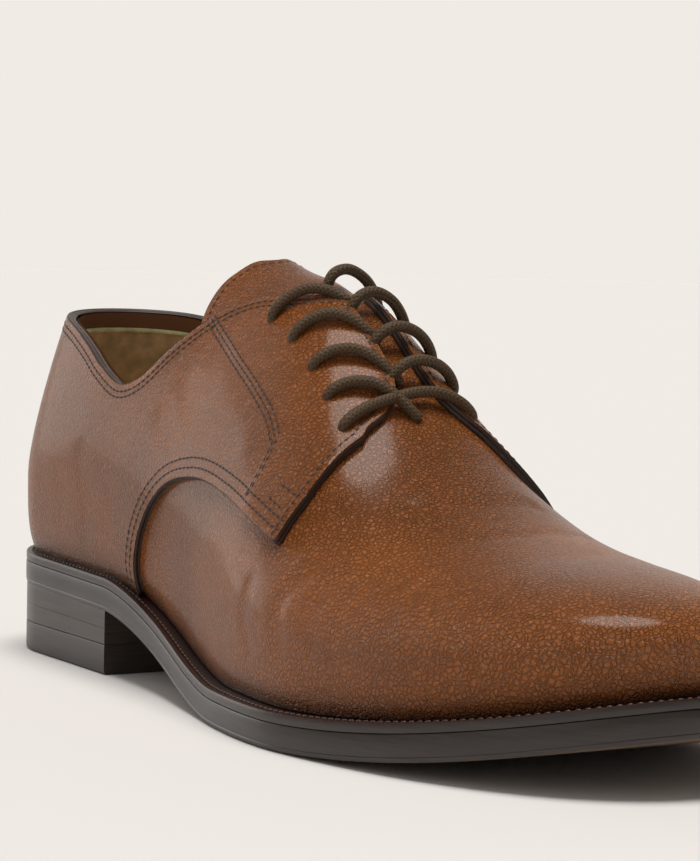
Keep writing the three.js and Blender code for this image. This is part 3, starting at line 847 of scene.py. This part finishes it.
def waxed_cord(name, colour):
    """Round braided lace with wax on it: slanted plaits run both ways round the cord."""
    mat, nodes, links, bsdf = shader(name)
    cord = nodes.new("ShaderNodeAttribute")
    cord.attribute_name = "cord"
    parts = nodes.new("ShaderNodeSeparateXYZ")
    links.new(cord.outputs["Vector"], parts.inputs[0])
    way = math_node(nodes, links, "MULTIPLY", parts.outputs[0], 2 * math.pi / BRAID_PITCH)
    turn = math_node(nodes, links, "MULTIPLY", parts.outputs[1], 2 * math.pi * PLAITS)
    one = math_node(nodes, links, "SINE", math_node(nodes, links, "ADD", way, turn), 0.0)
    two = math_node(nodes, links, "SINE", math_node(nodes, links, "SUBTRACT", way, turn), 0.0)
    plait = math_node(nodes, links, "MAXIMUM", one, two)
    fluff = texture(nodes, links, "ShaderNodeTexNoise", spot(nodes), Scale=2600.0, Detail=4.0)
    height = math_node(nodes, links, "MULTIPLY_ADD", plait, 0.5)
    links.new(fluff.outputs["Fac"], height.node.inputs[2])
    add_bump(nodes, links, bsdf, height, 0.7, 0.00025)
    # Painted shade and light: the cord is darker in the grooves between plaits and lighter on their tops.
    share = ramp(nodes, links, height, 0.1, 1.3)
    base = mix_colour(nodes, links, share, dark(colour, 0.55), tuple(c * 1.3 for c in colour))
    links.new(base, bsdf.inputs["Base Color"])
    bsdf.inputs["Roughness"].default_value = 0.55
    bsdf.inputs["Specular IOR Level"].default_value = 0.3
    return mat


def paint(o, *materials):
    if o.data.materials:
        o.data.materials.clear()
    for m in materials:
        o.data.materials.append(m)


def add_painted_welt_shade(mesh, reach=9.0):
    """Attribute that is 1 at the welt and fades up the side, for painted shade along the welt crevice."""
    share = np.zeros(len(mesh.vertices), np.float32)
    for i, v in enumerate(mesh.vertices):
        x, _, z = unplaced(v.co)
        up = z - float(welt_top(min(max(x, 0.0), LAST_LENGTH)))
        share[i] = max(0.0, 1 - up / reach) ** 1.6
    mesh.attributes.new("burnish", "FLOAT", "POINT").data.foreach_set("value", share)


# Settings a user would change.
class ShoeSizes(bpy.types.PropertyGroup):
    stations: IntProperty(name="Stations", description="Rows of the skin grid along the shoe", default=360)
    rows: IntProperty(name="Rows", description="Columns of the skin grid up each side", default=110)
    stitch_pitch: FloatProperty(
        name="Stitch pitch", description="Length of one stitch with its hole, in mm", default=2.3
    )
    stitch_width: FloatProperty(name="Thread width", description="Width of the thread, in mm", default=0.62)
    lace: FloatProperty(name="Lace", description="Diameter of the lace, in mm", default=3.0)
    grain: FloatProperty(name="Grain", description="Size of one pebble of the leather, in mm", default=1.25)
    crease: FloatProperty(name="Creases", description="Depth of a full crease, in mm", default=0.8)
    camera_lens: FloatProperty(name="Lens", description="Focal length, in mm", default=116.06, unit="CAMERA")


class ShoeColours(bpy.types.PropertyGroup):
    leather: FloatVectorProperty(
        name="Leather", description="Upper leather", subtype="COLOR", default=(0.32, 0.094, 0.013)
    )
    edge: FloatVectorProperty(
        name="Edges", description="Dark painted edges", subtype="COLOR", default=(0.032, 0.016, 0.011)
    )
    thread: FloatVectorProperty(
        name="Thread", description="Sewing thread", subtype="COLOR", default=(0.022, 0.013, 0.012)
    )
    lining: FloatVectorProperty(
        name="Lining", description="Cloth lining", subtype="COLOR", default=(0.72, 0.52, 0.28)
    )
    lace: FloatVectorProperty(
        name="Lace", description="Waxed lace", subtype="COLOR", default=(0.092, 0.055, 0.025)
    )
    sole: FloatVectorProperty(
        name="Sole edge", description="Waxed sole edge", subtype="COLOR", default=(0.034, 0.025, 0.021)
    )
    welt: FloatVectorProperty(
        name="Welt", description="Top of the welt", subtype="COLOR", default=(0.03, 0.009, 0.006)
    )
    floor: FloatVectorProperty(
        name="Floor", description="Floor", subtype="COLOR", default=(0.775, 0.76, 0.754)
    )
    backdrop: FloatVectorProperty(
        name="Backdrop", description="Backdrop light", subtype="COLOR", default=(0.871, 0.831, 0.783)
    )


def sizes():
    return bpy.context.scene.shoe_sizes


def tone(name):
    return tuple(getattr(bpy.context.scene.shoe_colours, name))


def made(name, make):
    if name not in MADE:
        MADE[name] = make()
    return MADE[name]


def skin():
    return made("skin", lambda: Skin(sizes().stations, sizes().rows))


def form_tree():
    """The outer form as if the quarters closed over the gap, for what lies over it."""

    def make():
        at = placed(skin().moved(QUARTER_STEP))
        rows, cols = at.shape[:2]
        faces = [
            (r * cols + c, (r + 1) * cols + c, (r + 1) * cols + c + 1, r * cols + c + 1)
            for r in range(rows - 1)
            for c in range(cols - 1)
        ]
        return BVHTree.FromPolygons(at.reshape(-1, 3).tolist(), faces)

    return made("form_tree", make)


def leather():
    def make():
        return grained_leather("Brown pebbled leather", tone("leather"), sizes().grain, 0.3)

    return made("leather", make)


def edge_leather():
    return made("edge", lambda: plain_leather("Dark painted edge", tone("edge"), 0.4))


def thread():
    return made("thread", lambda: plain_leather("Dark brown thread", tone("thread"), 0.6))


# Rolled rim of a leather edge, rows of (out, down): a soft shoulder, then two layers, a fine line between.
SHOULDER = ((0.3, 0.08), (0.52, 0.3), (0.6, 0.7), (0.6, 1.15))
ROLLED = (*SHOULDER, (0.45, 1.3), (0.6, 1.45), (0.6, 2.1), (0.4, 2.8))

# Flex creases, listed one by one. Side view rows are (x, z), plan rows (x, y), then side, depth share, width
# in mm.
SIDE_CREASES = (
    (((203, 44), (199, 34), (201, 24)), LATERAL, 0.7, 7.0),
    (((214, 46), (211, 36), (214, 26)), LATERAL, 0.4, 6.0),
    (((183, 38), (182, 30), (186, 22)), LATERAL, 0.5, 6.0),
    (((203, 44), (199, 34), (201, 24)), MEDIAL, 0.6, 7.0),
    (((112, 84), (122, 76), (136, 71), (150, 68)), LATERAL, 0.3, 9.0),
    (((106, 74), (118, 66), (132, 62)), LATERAL, 0.25, 9.0),
    (((60, 60), (66, 48), (64, 38)), LATERAL, 0.35, 10.0),
)
PLAN_CREASES = (
    (((206, -16), (209, 0), (207, 18)), 0.5, 6.0),
    (((222, -22), (226, 0), (222, 24)), 0.35, 7.0),
)


def line_distance(points, line):
    """Distance in a plane from each grid point to an open line."""
    p = points.reshape(-1, 2)
    best = np.full(len(p), 1e9)
    for a, b in zip(line[:-1], line[1:]):
        d = b - a
        t = np.clip((p - a) @ d / (d @ d), 0, 1)[:, None]
        best = np.minimum(best, ((p - a - t * d) ** 2).sum(1))
    return np.sqrt(best).reshape(points.shape[:-1])


def crease_depth(at, side):
    """How far the leather sinks at each grid point, in mm: soft troughs with a low ridge beside them."""
    depth = np.zeros(at.shape[:-1])
    for rows, which, share, width in SIDE_CREASES:
        d = line_distance(at[..., [0, 2]], smooth_line(rows, 16)) / width
        depth += np.where(side == which, share * np.exp(-d * d * 4) * (1 - 1.2 * d * d), 0)
    for rows, share, width in PLAN_CREASES:
        d = line_distance(at[..., :2], smooth_line(rows, 16)) / width
        high = at[..., 2] > 40
        depth += np.where(high, share * np.exp(-d * d * 4) * (1 - 1.2 * d * d), 0)
    return depth * sizes().crease


# Seam that joins the facing to the quarter, in side view: down from the collar, round, and back to the curve.
SEAM_UPPER = ((109.5, 102.0), (118, 97.5), (132, 91.0), (147.5, 84.0), (160, 77.3), (166.5, 72.3))
SEAM_LOWER = ((167.6, 70.2), (168.6, 66.0), (168.8, 60.0), (168.2, 57.6))


# Rear ends of the two short rows that hold the facing at its corner, in side view.
BAR_TACK = ((179.3, 61.8), (178.0, 58.6))


def facing_step(at):
    """The facing's own leather stands a little higher in front of its seam."""
    line = smooth_line([*SEAM_UPPER, *SEAM_LOWER], 60)
    region = [(90.0, 125.0), *line, (169, 0), (260, 0), (260, 125)]
    d = signed_distance(at[..., [0, 2]], region)
    return 0.45 / (1 + np.exp(np.clip(d / 0.45, -20, 20)))


class SHOE_OT_vamp(bpy.types.Operator):
    """Plain-toe vamp that covers the forepart and runs under the facings"""

    bl_idname = "shoe.vamp"
    bl_label = "Vamp"

    def execute(self, context):
        s = skin()
        x, y, z = (s.at[..., i] for i in range(3))
        plan = np.stack([x, y], -1)
        front = 0.3 * LAST_LENGTH - x
        throat = -signed_distance(plan, tongue_plan(0.5))
        throat = np.where(z > TONGUE_LOW - 1, throat, -9.0)
        instep = np.where(x < TONGUE_FRONT - 8, z - 0.7 * INSTEP_HEIGHT, -9.0)
        keep = np.maximum.reduce([front, throat, instep])
        side_view = signed_distance(np.stack([x, z], -1), QUARTER_SIDE)
        free = np.clip(side_view / 6, 0, 1)
        mesh = sheet_mesh("vamp", s.moved(-crease_depth(s.at, s.side) * free), keep)
        add_painted_welt_shade(mesh)
        o = link("vamp", mesh)
        paint(o, leather())
        return {"FINISHED"}


class SHOE_OT_quarters(bpy.types.Operator):
    """Quarters and facings in one layer over the vamp, with dark edges"""

    bl_idname = "shoe.quarters"
    bl_label = "Quarters"

    def execute(self, context):
        s = skin()
        at = s.moved(QUARTER_STEP)
        side_view = signed_distance(at[..., [0, 2]], QUARTER_SIDE)
        keep = np.maximum.reduce([side_view, gap_value(at), collar_value(at)]) + 0.5
        lift = QUARTER_STEP + facing_step(at) - crease_depth(at, s.side)
        mesh = sheet_mesh("quarters", s.moved(lift), keep, ROLLED)
        add_painted_welt_shade(mesh)
        o = link("quarters", mesh, ("upper",))
        paint(o, leather(), edge_leather())
        return {"FINISHED"}


def gap_value(at):
    return -signed_distance(at[..., :2], GAP_PLAN)


def collar_value(at):
    return at[..., 2] - collar_height(at[..., 0])


class SHOE_OT_lining(bpy.types.Operator):
    """Cloth lining, and the leather band inside the collar"""

    bl_idname = "shoe.lining"
    bl_label = "Lining"

    def execute(self, context):
        s = skin()
        at = s.moved(-VAMP_WALL)
        mesh = sheet_mesh("lining", at, collar_value(at) + 1.6, inward=True)
        o = link("lining", mesh)
        paint(o, cloth("Khaki napped lining", tone("lining")))
        at = s.moved(-1.5)
        high = collar_value(at)
        band = 6.0
        keep = np.maximum.reduce([high + 0.5, -high - band, gap_value(at) + 9])
        mesh = sheet_mesh("collar_band", at - s.way * 1.1, keep, inward=True)
        for p in mesh.polygons:
            x, y, _ = unplaced(p.center)
            p.material_index = 1 if x > 62 and y > 0 or x > 96 else 0
        o = link("collar_band", mesh)
        brown = plain_leather("Smooth brown lining leather", (0.2, 0.085, 0.035), 0.5)
        paint(o, brown, plain_leather("Dark lining leather", (0.045, 0.024, 0.016), 0.5))
        parts = []
        for rim in MADE["collar_band_rims"]:
            p = np.array([unplaced(co) for co, _ in rim])
            low = p[:, 2] < collar_height(p[:, 0]) - 0.6 * band
            run = p[low & (p[:, 0] < 92)]
            if len(run) > 20:
                order = np.argsort(np.arctan2(run[:, 1], 92 - run[:, 0]))
                line = even_line(smoothed(run[order], 4), 160)
                parts.append(tube(placed(line), 0.75 * MM, 8))
        o = joined("lining_edge", parts)
        paint(o, cloth("Pale lining edge", tuple(min(c * 1.5, 0.8) for c in tone("lining"))))
        paint(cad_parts["insole"], plain_leather("Insole leather", (0.36, 0.25, 0.14), 0.7))
        return {"FINISHED"}


class SHOE_OT_tongue(bpy.types.Operator):
    """Leather tongue under the lacing"""

    bl_idname = "shoe.tongue"
    bl_label = "Tongue"

    def execute(self, context):
        s = skin()
        x, y, z = (s.at[..., i] for i in range(3))
        skew = 0.36 * np.maximum(ridge_y(x) - y - 2, 0) * np.clip((140 - x) / 25, 0, 1)
        plan = signed_distance(np.stack([x + skew, y], -1), tongue_plan(1.0))
        keep = np.maximum(plan, TONGUE_LOW - z) + 0.4
        ripple = 0.12 * np.sin((y + 0.25 * x) * 0.7) * np.clip((150 - x) / 30, 0, 1)
        slack = np.clip((138 - x) / 28, 0, 1) ** 1.5
        ripple -= 2.6 * slack * np.exp(-(((y - ridge_y(x)) / 13) ** 2)) - 0.9 * slack
        edge = ((0.25, 0.1), (0.4, 0.5), (0.4, 1.3), (0.1, 1.7), (-0.8, 1.85))
        mesh = sheet_mesh("tongue_skin", s.moved(ripple - 0.3), keep, edge)
        o = link("tongue_skin", mesh, ("tongue",))
        paint(o, leather(), edge_leather())
        return {"FINISHED"}


def rim_index(rim, side, measure):
    """Index of the rim point on one side where a measure of its place in mm is least."""
    p = np.array([unplaced(co) for co, _ in rim])
    score = measure(p)
    score[(p[:, 1] - ridge_y(p[:, 0])) * side < 0] = 1e9
    return int(np.argmin(score))


def rim_run(rim, first, last):
    return rim[first : last + 1] if first <= last else rim[first:] + rim[: last + 1]


class SHOE_OT_stitching(bpy.types.Operator):
    """Stitch rows along the collar, facings, quarters, seams and tongue, and the welt stitching"""

    bl_idname = "shoe.stitching"
    bl_label = "Stitching"

    def execute(self, context):
        pitch, width = sizes().stitch_pitch, sizes().stitch_width
        tree, rim = MADE["quarters_tree"], MADE["quarters_rims"][0]

        def bottom(p):
            return (p[:, 0] - QUARTER_CURVE[0, 0]) ** 2 + (p[:, 2] - SEAT_TOP + 10) ** 2

        def corner(p):
            return (p[:, 0] - CORNER[0]) ** 2 + (p[:, 2] - CORNER[1]) ** 2

        def top(p):
            return np.abs(gap_value(p) + 0.5) + np.abs(collar_value(p) + 0.5)

        marks = [rim_index(rim, LATERAL, m) for m in (bottom, corner, top)]
        marks += [rim_index(rim, MEDIAL, m) for m in (top, corner, bottom)]
        curves = [rim_run(rim, marks[0], marks[1]), rim_run(rim, marks[4], marks[5])]
        whole = rim_run(rim, marks[1], marks[4])
        collar = rim_run(rim, marks[2], marks[3])
        rows = []
        for run in curves:
            rows += [beside(tree, run, 2.2), beside(tree, run, 4.9)]
        rows.append(beside(tree, whole, 1.8))
        rows.append(beside(tree, collar, 3.5))
        for side in (LATERAL, MEDIAL):
            upper = side_hits(tree, smooth_line(SEAM_UPPER, 60), side)
            lower = side_hits(tree, smooth_line([SEAM_UPPER[-1], *SEAM_LOWER], 40), side)
            rows += [beside(tree, upper, away) for away in (-1.5, 0.0, 1.5)]
            rows += [beside(tree, lower, away) for away in (-0.6, 0.7)]
            for x, z in BAR_TACK:
                rows.append(side_hits(tree, smooth_line([(x, z), (x + 7.0, z - 2.4)], 8), side))
        parts = [stitch_part(row, pitch, width) for row in rows if len(row) > 3]
        seams = [groove_shade_part(row, 0.2) for row in rows if len(row) > 3]
        tongue_rim = MADE["tongue_skin_rims"][0]
        row = beside(MADE["tongue_skin_tree"], tongue_rim, 2.0)
        row = [h for h in row if unplaced(h[0])[0] < 0.52 * LAST_LENGTH]
        ahead = max(range(len(row)), key=lambda i: (row[i][0] - row[i - 1][0]).length)
        parts.append(stitch_part(row[ahead:] + row[:ahead], pitch, width))
        o = joined("upper_stitches", parts)
        paint(o, thread())
        # Painted shade: dark ribbons along the stitch rows stand in for the shade in their grooves.
        o = joined("upper_stitch_channels", seams)
        paint(o, plain_leather("Pressed leather beside the thread", dark(tone("leather"), 0.4), 0.6))
        loop = offset_loop(FINE_LOOP, margin_at(FINE_LOOP[:, 0]) * 0.56)
        line = np.column_stack([loop, welt_top(loop[:, 0])])
        row = [(Vector(p), Vector((0, 0, 1))) for p in placed(np.concatenate([line, line[:1]]))]
        o = joined("welt_stitches", [stitch_part(row, 2.3, 0.75, 0.05, 0.72)])
        paint(o, plain_leather("Waxed welt thread", (0.085, 0.04, 0.025), 0.45))
        return {"FINISHED"}


def groove_shade_part(hits, half):
    """A thin dark ribbon just over the leather along the pressed line that the thread lies in: painted shade
    of that groove.
    """
    hits = even_hits(hits, 1.0)
    p = np.array([h[0] for h in hits])
    t = np.gradient(p, axis=0)
    verts, faces = [], []
    for (co, n), d in zip(hits, t):
        s = n.cross(Vector(d)).normalized() * half * MM
        verts += [co - s + n * 0.015 * MM, co + s + n * 0.015 * MM]
    for i in range(len(hits) - 1):
        faces.append((2 * i, 2 * i + 2, 2 * i + 3, 2 * i + 1))
    return verts, faces, []


def rim_loft(name, margin, section, closed=True, limit=None, n=300):
    """A ring of sole or heel round the feather loop; section rows are (in from the margin, height)."""
    loop = feather_loop(n)
    rings = []
    for inset, height in section:
        ring = offset_loop(loop, margin(loop[:, 0]) - inset)
        rings.append(np.column_stack([ring, height(ring[:, 0])]))
    verts = placed(np.concatenate(rings))
    m = len(loop)
    faces = []
    for k in range(len(rings) - 1):
        for i in range(m):
            j = (i + 1) % m
            faces.append((k * m + i, k * m + j, (k + 1) * m + j, (k + 1) * m + i))

    def cap(start, up):
        for i in range(n):
            face = [start + q for q in dict.fromkeys((i, i + 1, (m - i - 1) % m, (m - i) % m))]
            if len(face) > 2:
                faces.append(tuple(face if up else face[::-1]))

    if closed:
        cap(0, False)
        cap((len(rings) - 1) * m, True)
    mesh = bpy.data.meshes.new(name)
    mesh.from_pydata(verts.tolist(), [], faces)
    bm = bmesh.new()
    bm.from_mesh(mesh)
    if limit is not None:
        cut = Vector(placed((limit, 0, 0)))
        geom = bm.verts[:] + bm.edges[:] + bm.faces[:]
        got = bmesh.ops.bisect_plane(bm, geom=geom, plane_co=cut, plane_no=(1, 0, 0), clear_outer=True)
        edges = [e for e in got["geom_cut"] if isinstance(e, bmesh.types.BMEdge)]
        bmesh.ops.contextual_create(bm, geom=edges)
    for e in bm.edges:
        if len(e.link_faces) == 2 and e.calc_face_angle(0.0) > math.radians(32):
            e.smooth = False
    for f in bm.faces:
        f.smooth = True
    bm.to_mesh(mesh)
    bm.free()
    return mesh


class SHOE_OT_sole(bpy.types.Operator):
    """Outsole, welt and heel with their worked edges"""

    bl_idname = "shoe.sole"
    bl_label = "Sole and heel"

    def execute(self, context):
        low, high = SOLE_THICKNESS, SOLE_EDGE
        edge = waxed_edge("Waxed sole edge", tone("sole"), 0.36)
        # The heel edge is the sole edge's colour made 1.5 times lighter: painted reflection of the bright
        # backdrop on the heel.
        heel_edge_with_reflection = waxed_edge("Waxed heel edge", tuple(c * 1.5 for c in tone("sole")), 0.36)
        tread = plain_leather("Sole leather underneath", (0.13, 0.085, 0.055), 0.6)
        welt_skin = plain_leather("Dark welt leather", tone("welt"), 0.38)

        def over(rise):
            return lambda x: sole_under(x) + rise

        section = [(0.9, over(0)), (0.35, over(0.15)), (0.1, over(0.5)), (0, over(1.1)), (0.12, over(1.35))]
        section += [(0, over(1.6)), (-0.05, over(3.4)), (0, over(low - 0.5)), (0.15, over(low - 0.12))]
        sole = rim_loft("outsole_block", margin_at, [*section, (0.5, over(low))])
        for p in sole.polygons:
            if p.normal.z < -0.85:
                p.material_index = 1
        o = link("outsole_block", sole, ("outsole",))
        paint(o, edge, tread)
        section = [(0.5, over(low + 0.02)), (0.15, over(low + 0.15)), (0, over(low + 0.5))]
        section += [(0, over(high - 0.5))]
        section += [(0.2, over(high - 0.12)), (0.7, over(high)), (1.5, over(high)), (1.8, over(high - 0.2))]
        section += [(2.1, over(high - 0.22)), (2.5, over(high - 0.02)), (9, over(high))]
        welt = rim_loft("welt_strip", margin_at, section, closed=False)
        for p in welt.polygons:
            if p.normal.z > 0.3:
                p.material_index = 1
        o = link("welt_strip", welt, ("welt",))
        paint(o, edge, welt_skin)

        def heel_margin(x):
            return margin_at(x) - 0.3

        bottom = TOP_LIFT + CLEAR

        def at_height(share, extra=0.0):
            return lambda x: bottom + (seat_line(x) - CLEAR - bottom) * share + extra

        section = [(0.25, at_height(0)), (0.03, at_height(0, 0.2)), (0, at_height(0.49))]
        section += [(0.1, at_height(0.5)), (0, at_height(0.51))]
        section += [(0, at_height(1, -0.1)), (0.1, at_height(1, 0.35))]
        lifts = rim_loft("heel_lifts", heel_margin, section, limit=BREAST)
        o = link("heel_lifts", lifts, ("heel_stack",))
        paint(o, heel_edge_with_reflection)

        def flat(z):
            return lambda x: 0 * np.asarray(x) + z

        section = [(0.9, flat(0)), (0.4, flat(0.12)), (0.1, flat(0.5)), (0, flat(1.1))]
        section += [(0, flat(TOP_LIFT - 0.2)), (0.15, flat(TOP_LIFT + 0.2))]
        lift = rim_loft("heel_tip", heel_margin, section, limit=BREAST)
        o = link("heel_tip", lift, ("heel_top_lift",))
        paint(o, waxed_edge("Heel tip rubber", tuple(c * 1.25 for c in tone("sole")), 0.42))
        return {"FINISHED"}


def row_at(k):
    first, last = 0.474 * LAST_LENGTH, 0.606 * LAST_LENGTH
    return first + (last - first) * k / (LACE_ROWS - 1)


# A strand's points: share of a row pitch forward, distance from the middle as a share of the solid's holes,
# and height over the leather in mm. The far ones stop short of the holes, where the photograph's loops end.
NEAR_STRAND = (
    (0.0, 1.0, -3.0), (0.0, 1.0, 0.3), (0.03, 0.93, 1.6), (0.16, 0.75, 2.3), (0.42, 0.55, 2.5),
    (0.78, 0.38, 1.6), (1.1, 0.26, 0.2), (1.35, 0.14, -1.6),
)
FAR_STRAND = (
    (0.0, 0.66, -3.0), (0.0, 0.64, 0.2), (-0.02, 0.52, 2.2), (0.0, 0.32, 3.1), (0.05, 0.08, 3.0),
    (0.14, -0.12, 1.9), (0.26, -0.28, -1.5),
)
BAR = (
    (0.0, 1.0, -3.0), (0.0, 1.0, 0.3), (-0.02, 0.93, 1.6), (-0.06, 0.7, 2.0), (-0.12, 0.35, 1.2),
    (-0.2, 0.0, 1.0),
)
BAR_FAR = ((-0.2, 0.28, 1.4), (-0.1, 0.5, 1.4), (0.0, 0.6, 0.2), (0.0, 0.62, -3.0))

# Rows of holes along the shoe, in mm from the heel, as they lie on the outer facing.
HOLE_PLACES = (136.7, 149.0, 160.5, 170.1, 179.6)


def hole_at(k):
    """Row k along the shoe, and its reach from the ridge. The facings spread towards the toe."""
    return HOLE_PLACES[k], LACE_GAP / 2 + HOLE_EDGE + 1.5 + 1.1 * k


def strand_line(k, side, rows):
    """Places of one strand in metres."""
    tree = form_tree()
    pitch = row_at(1) - row_at(0)
    out = []
    first, reach = hole_at(k)
    for share, across, lift in rows:
        x = first + share * pitch
        start = Vector(placed((x, float(ridge_y(x)) + side * across * reach, 160.0)))
        hit, normal, _, _ = tree.ray_cast(start, Vector((0, 0, -1)))
        if hit is None:
            raise RuntimeError("a lace strand misses the upper")
        out.append(np.array(hit + normal * lift * MM))
    return out


class SHOE_OT_laces(bpy.types.Operator):
    """Waxed lace: four crossings that dive into the gap, and the bar at the bottom"""

    bl_idname = "shoe.laces"
    bl_label = "Laces"

    def execute(self, context):
        r = sizes().lace / 2 * MM
        cord = waxed_cord("Waxed round lace", tone("lace"))
        for k in range(LACE_ROWS):
            if k < LACE_ROWS - 1:
                parts = []
                for side, rows in ((LATERAL, NEAR_STRAND), (MEDIAL, FAR_STRAND)):
                    parts.append(tube(smooth_line(strand_line(k, side, rows), 80), r, 14))
                o = joined(f"lace_strands_{k + 1}", parts, (f"lace_cross_{k + 1}",))
            else:
                rows = [*strand_line(k, LATERAL, BAR), *strand_line(k, MEDIAL, BAR_FAR)]
                cords = [tube(smooth_line(rows, 120), r, 14)]
                o = joined("lace_bottom_bar", cords, ("lace_bar",))
            paint(o, cord)
        return {"FINISHED"}


class SHOE_OT_stage(bpy.types.Operator):
    """Pale floor and backdrop, soft studio light and the camera"""

    bl_idname = "shoe.stage"
    bl_label = "Stage"

    def execute(self, context):
        scene = context.scene
        scene.view_settings.view_transform = "Standard"
        mat, _, _, bsdf = shader("Pale floor")
        bsdf.inputs["Base Color"].default_value = (*tone("floor"), 1)
        bsdf.inputs["Roughness"].default_value = 1.0
        bsdf.inputs["Specular IOR Level"].default_value = 0.0
        reach = 40.0
        depth = -0.0001
        corners = ((-1, -1), (1, -1), (1, 1), (-1, 1))
        verts = [(reach * a, reach * b, depth) for a, b in corners]
        mesh = bpy.data.meshes.new("floor")
        mesh.from_pydata(verts, [], [(0, 1, 2, 3)])
        floor = bpy.data.objects.new("floor", mesh)
        scene.collection.objects.link(floor)
        paint(floor, mat)
        self.backdrop(scene)
        sun("overhead_softbox", (0.03, 0.02, 1.0), 29, 2.6)
        sun("front_fill", (0.1, -0.8, 0.6), 70, 0.42)
        sun("left_strip", (-0.93, -0.32, 0.22), 24, 0.3)
        camera(scene)
        return {"FINISHED"}

    def backdrop(self, scene):
        """A bright sweep behind the shoe, and a dimmer room above and in front of it."""
        world = bpy.data.worlds.new("Studio")
        world.use_nodes = True
        nodes, links = world.node_tree.nodes, world.node_tree.links
        way = nodes.new("ShaderNodeTexCoord").outputs["Generated"]
        toward = nodes.new("ShaderNodeVectorMath")
        toward.operation = "DOT_PRODUCT"
        links.new(way, toward.inputs[0])
        toward.inputs[1].default_value = (-0.87, 0.5, 0.0)
        parts = nodes.new("ShaderNodeSeparateXYZ")
        links.new(way, parts.inputs[0])
        behind = ramp(nodes, links, toward.outputs["Value"], 0.4, 0.9)
        high = ramp(nodes, links, parts.outputs[2], 0.75, 0.3)
        share = math_node(nodes, links, "MULTIPLY", behind, high)
        share = math_node(nodes, links, "MULTIPLY_ADD", share, 0.82)
        share.node.inputs[2].default_value = 0.18
        links.new(share, nodes["Background"].inputs["Strength"])
        nodes["Background"].inputs["Color"].default_value = (*tone("backdrop"), 1)
        scene.world = world


def sun(name, way, spread, strength):
    data = bpy.data.lights.new(name, "SUN")
    data.energy = strength
    data.angle = math.radians(spread)
    data.color = (1.0, 0.97, 0.93)
    o = bpy.data.objects.new(name, data)
    o.rotation_euler = Vector(way).to_track_quat("Z", "Y").to_euler()
    bpy.context.scene.collection.objects.link(o)
    return o


# The photograph's view: direction in degrees, distance and aim in mm on the last, principal point in pixels.
VIEW_AZIMUTH, VIEW_ELEVATION, VIEW_ROLL = 60.3, 4.204, 1.257
VIEW_DISTANCE = 763.489
VIEW_AIM = (111.798, 0.0, 59.472)
VIEW_SHIFT = (-70.666, 39.715)
PHOTO_HEIGHT = 861


def camera(scene):
    a, e, r = (math.radians(v) for v in (VIEW_AZIMUTH, VIEW_ELEVATION, VIEW_ROLL))
    back = Vector((math.sin(a) * math.cos(e), -math.cos(a) * math.cos(e), math.sin(e)))
    right = Vector((math.cos(a), math.sin(a), 0))
    up = back.cross(right)
    right_r = right * math.cos(r) + up * math.sin(r)
    up_r = up * math.cos(r) - right * math.sin(r)
    data = bpy.data.cameras.new("photo_view")
    data.lens = sizes().camera_lens
    data.sensor_width = 36
    data.shift_x = -VIEW_SHIFT[0] / PHOTO_HEIGHT
    data.shift_y = VIEW_SHIFT[1] / PHOTO_HEIGHT
    data.clip_start, data.clip_end = 0.05, 60
    o = bpy.data.objects.new("photo_view", data)
    turn = Matrix((right_r, up_r, back)).transposed().to_4x4()
    turn.translation = Vector(placed(VIEW_AIM)) + back * VIEW_DISTANCE * MM
    o.matrix_world = turn
    scene.collection.objects.link(o)
    scene.camera = o


class SHOE_PT_panel(bpy.types.Panel):
    """Pieces of the shoe"""

    bl_idname = "SHOE_PT_panel"
    bl_label = "Lace-up Shoe"
    bl_space_type = "VIEW_3D"
    bl_region_type = "UI"
    bl_category = "Shoe"

    def draw(self, context):
        for operator in OPERATORS:
            self.layout.operator(operator.bl_idname)
        for settings in (context.scene.shoe_sizes, context.scene.shoe_colours):
            for key in settings.__annotations__:
                self.layout.prop(settings, key)


OPERATORS = (
    SHOE_OT_vamp,
    SHOE_OT_quarters,
    SHOE_OT_lining,
    SHOE_OT_tongue,
    SHOE_OT_stitching,
    SHOE_OT_sole,
    SHOE_OT_laces,
    SHOE_OT_stage,
)
CLASSES = (ShoeSizes, ShoeColours, *OPERATORS, SHOE_PT_panel)


def register():
    for c in CLASSES:
        bpy.utils.register_class(c)
    bpy.types.Scene.shoe_sizes = PointerProperty(type=ShoeSizes)
    bpy.types.Scene.shoe_colours = PointerProperty(type=ShoeColours)


def unregister():
    del bpy.types.Scene.shoe_colours
    del bpy.types.Scene.shoe_sizes
    for c in reversed(CLASSES):
        bpy.utils.unregister_class(c)


def main():
    register()
    bpy.ops.shoe.vamp()
    bpy.ops.shoe.quarters()
    bpy.ops.shoe.lining()
    bpy.ops.shoe.tongue()
    bpy.ops.shoe.stitching()
    bpy.ops.shoe.sole()
    bpy.ops.shoe.laces()
    bpy.ops.shoe.stage()


if __name__ == "__main__":
    main()
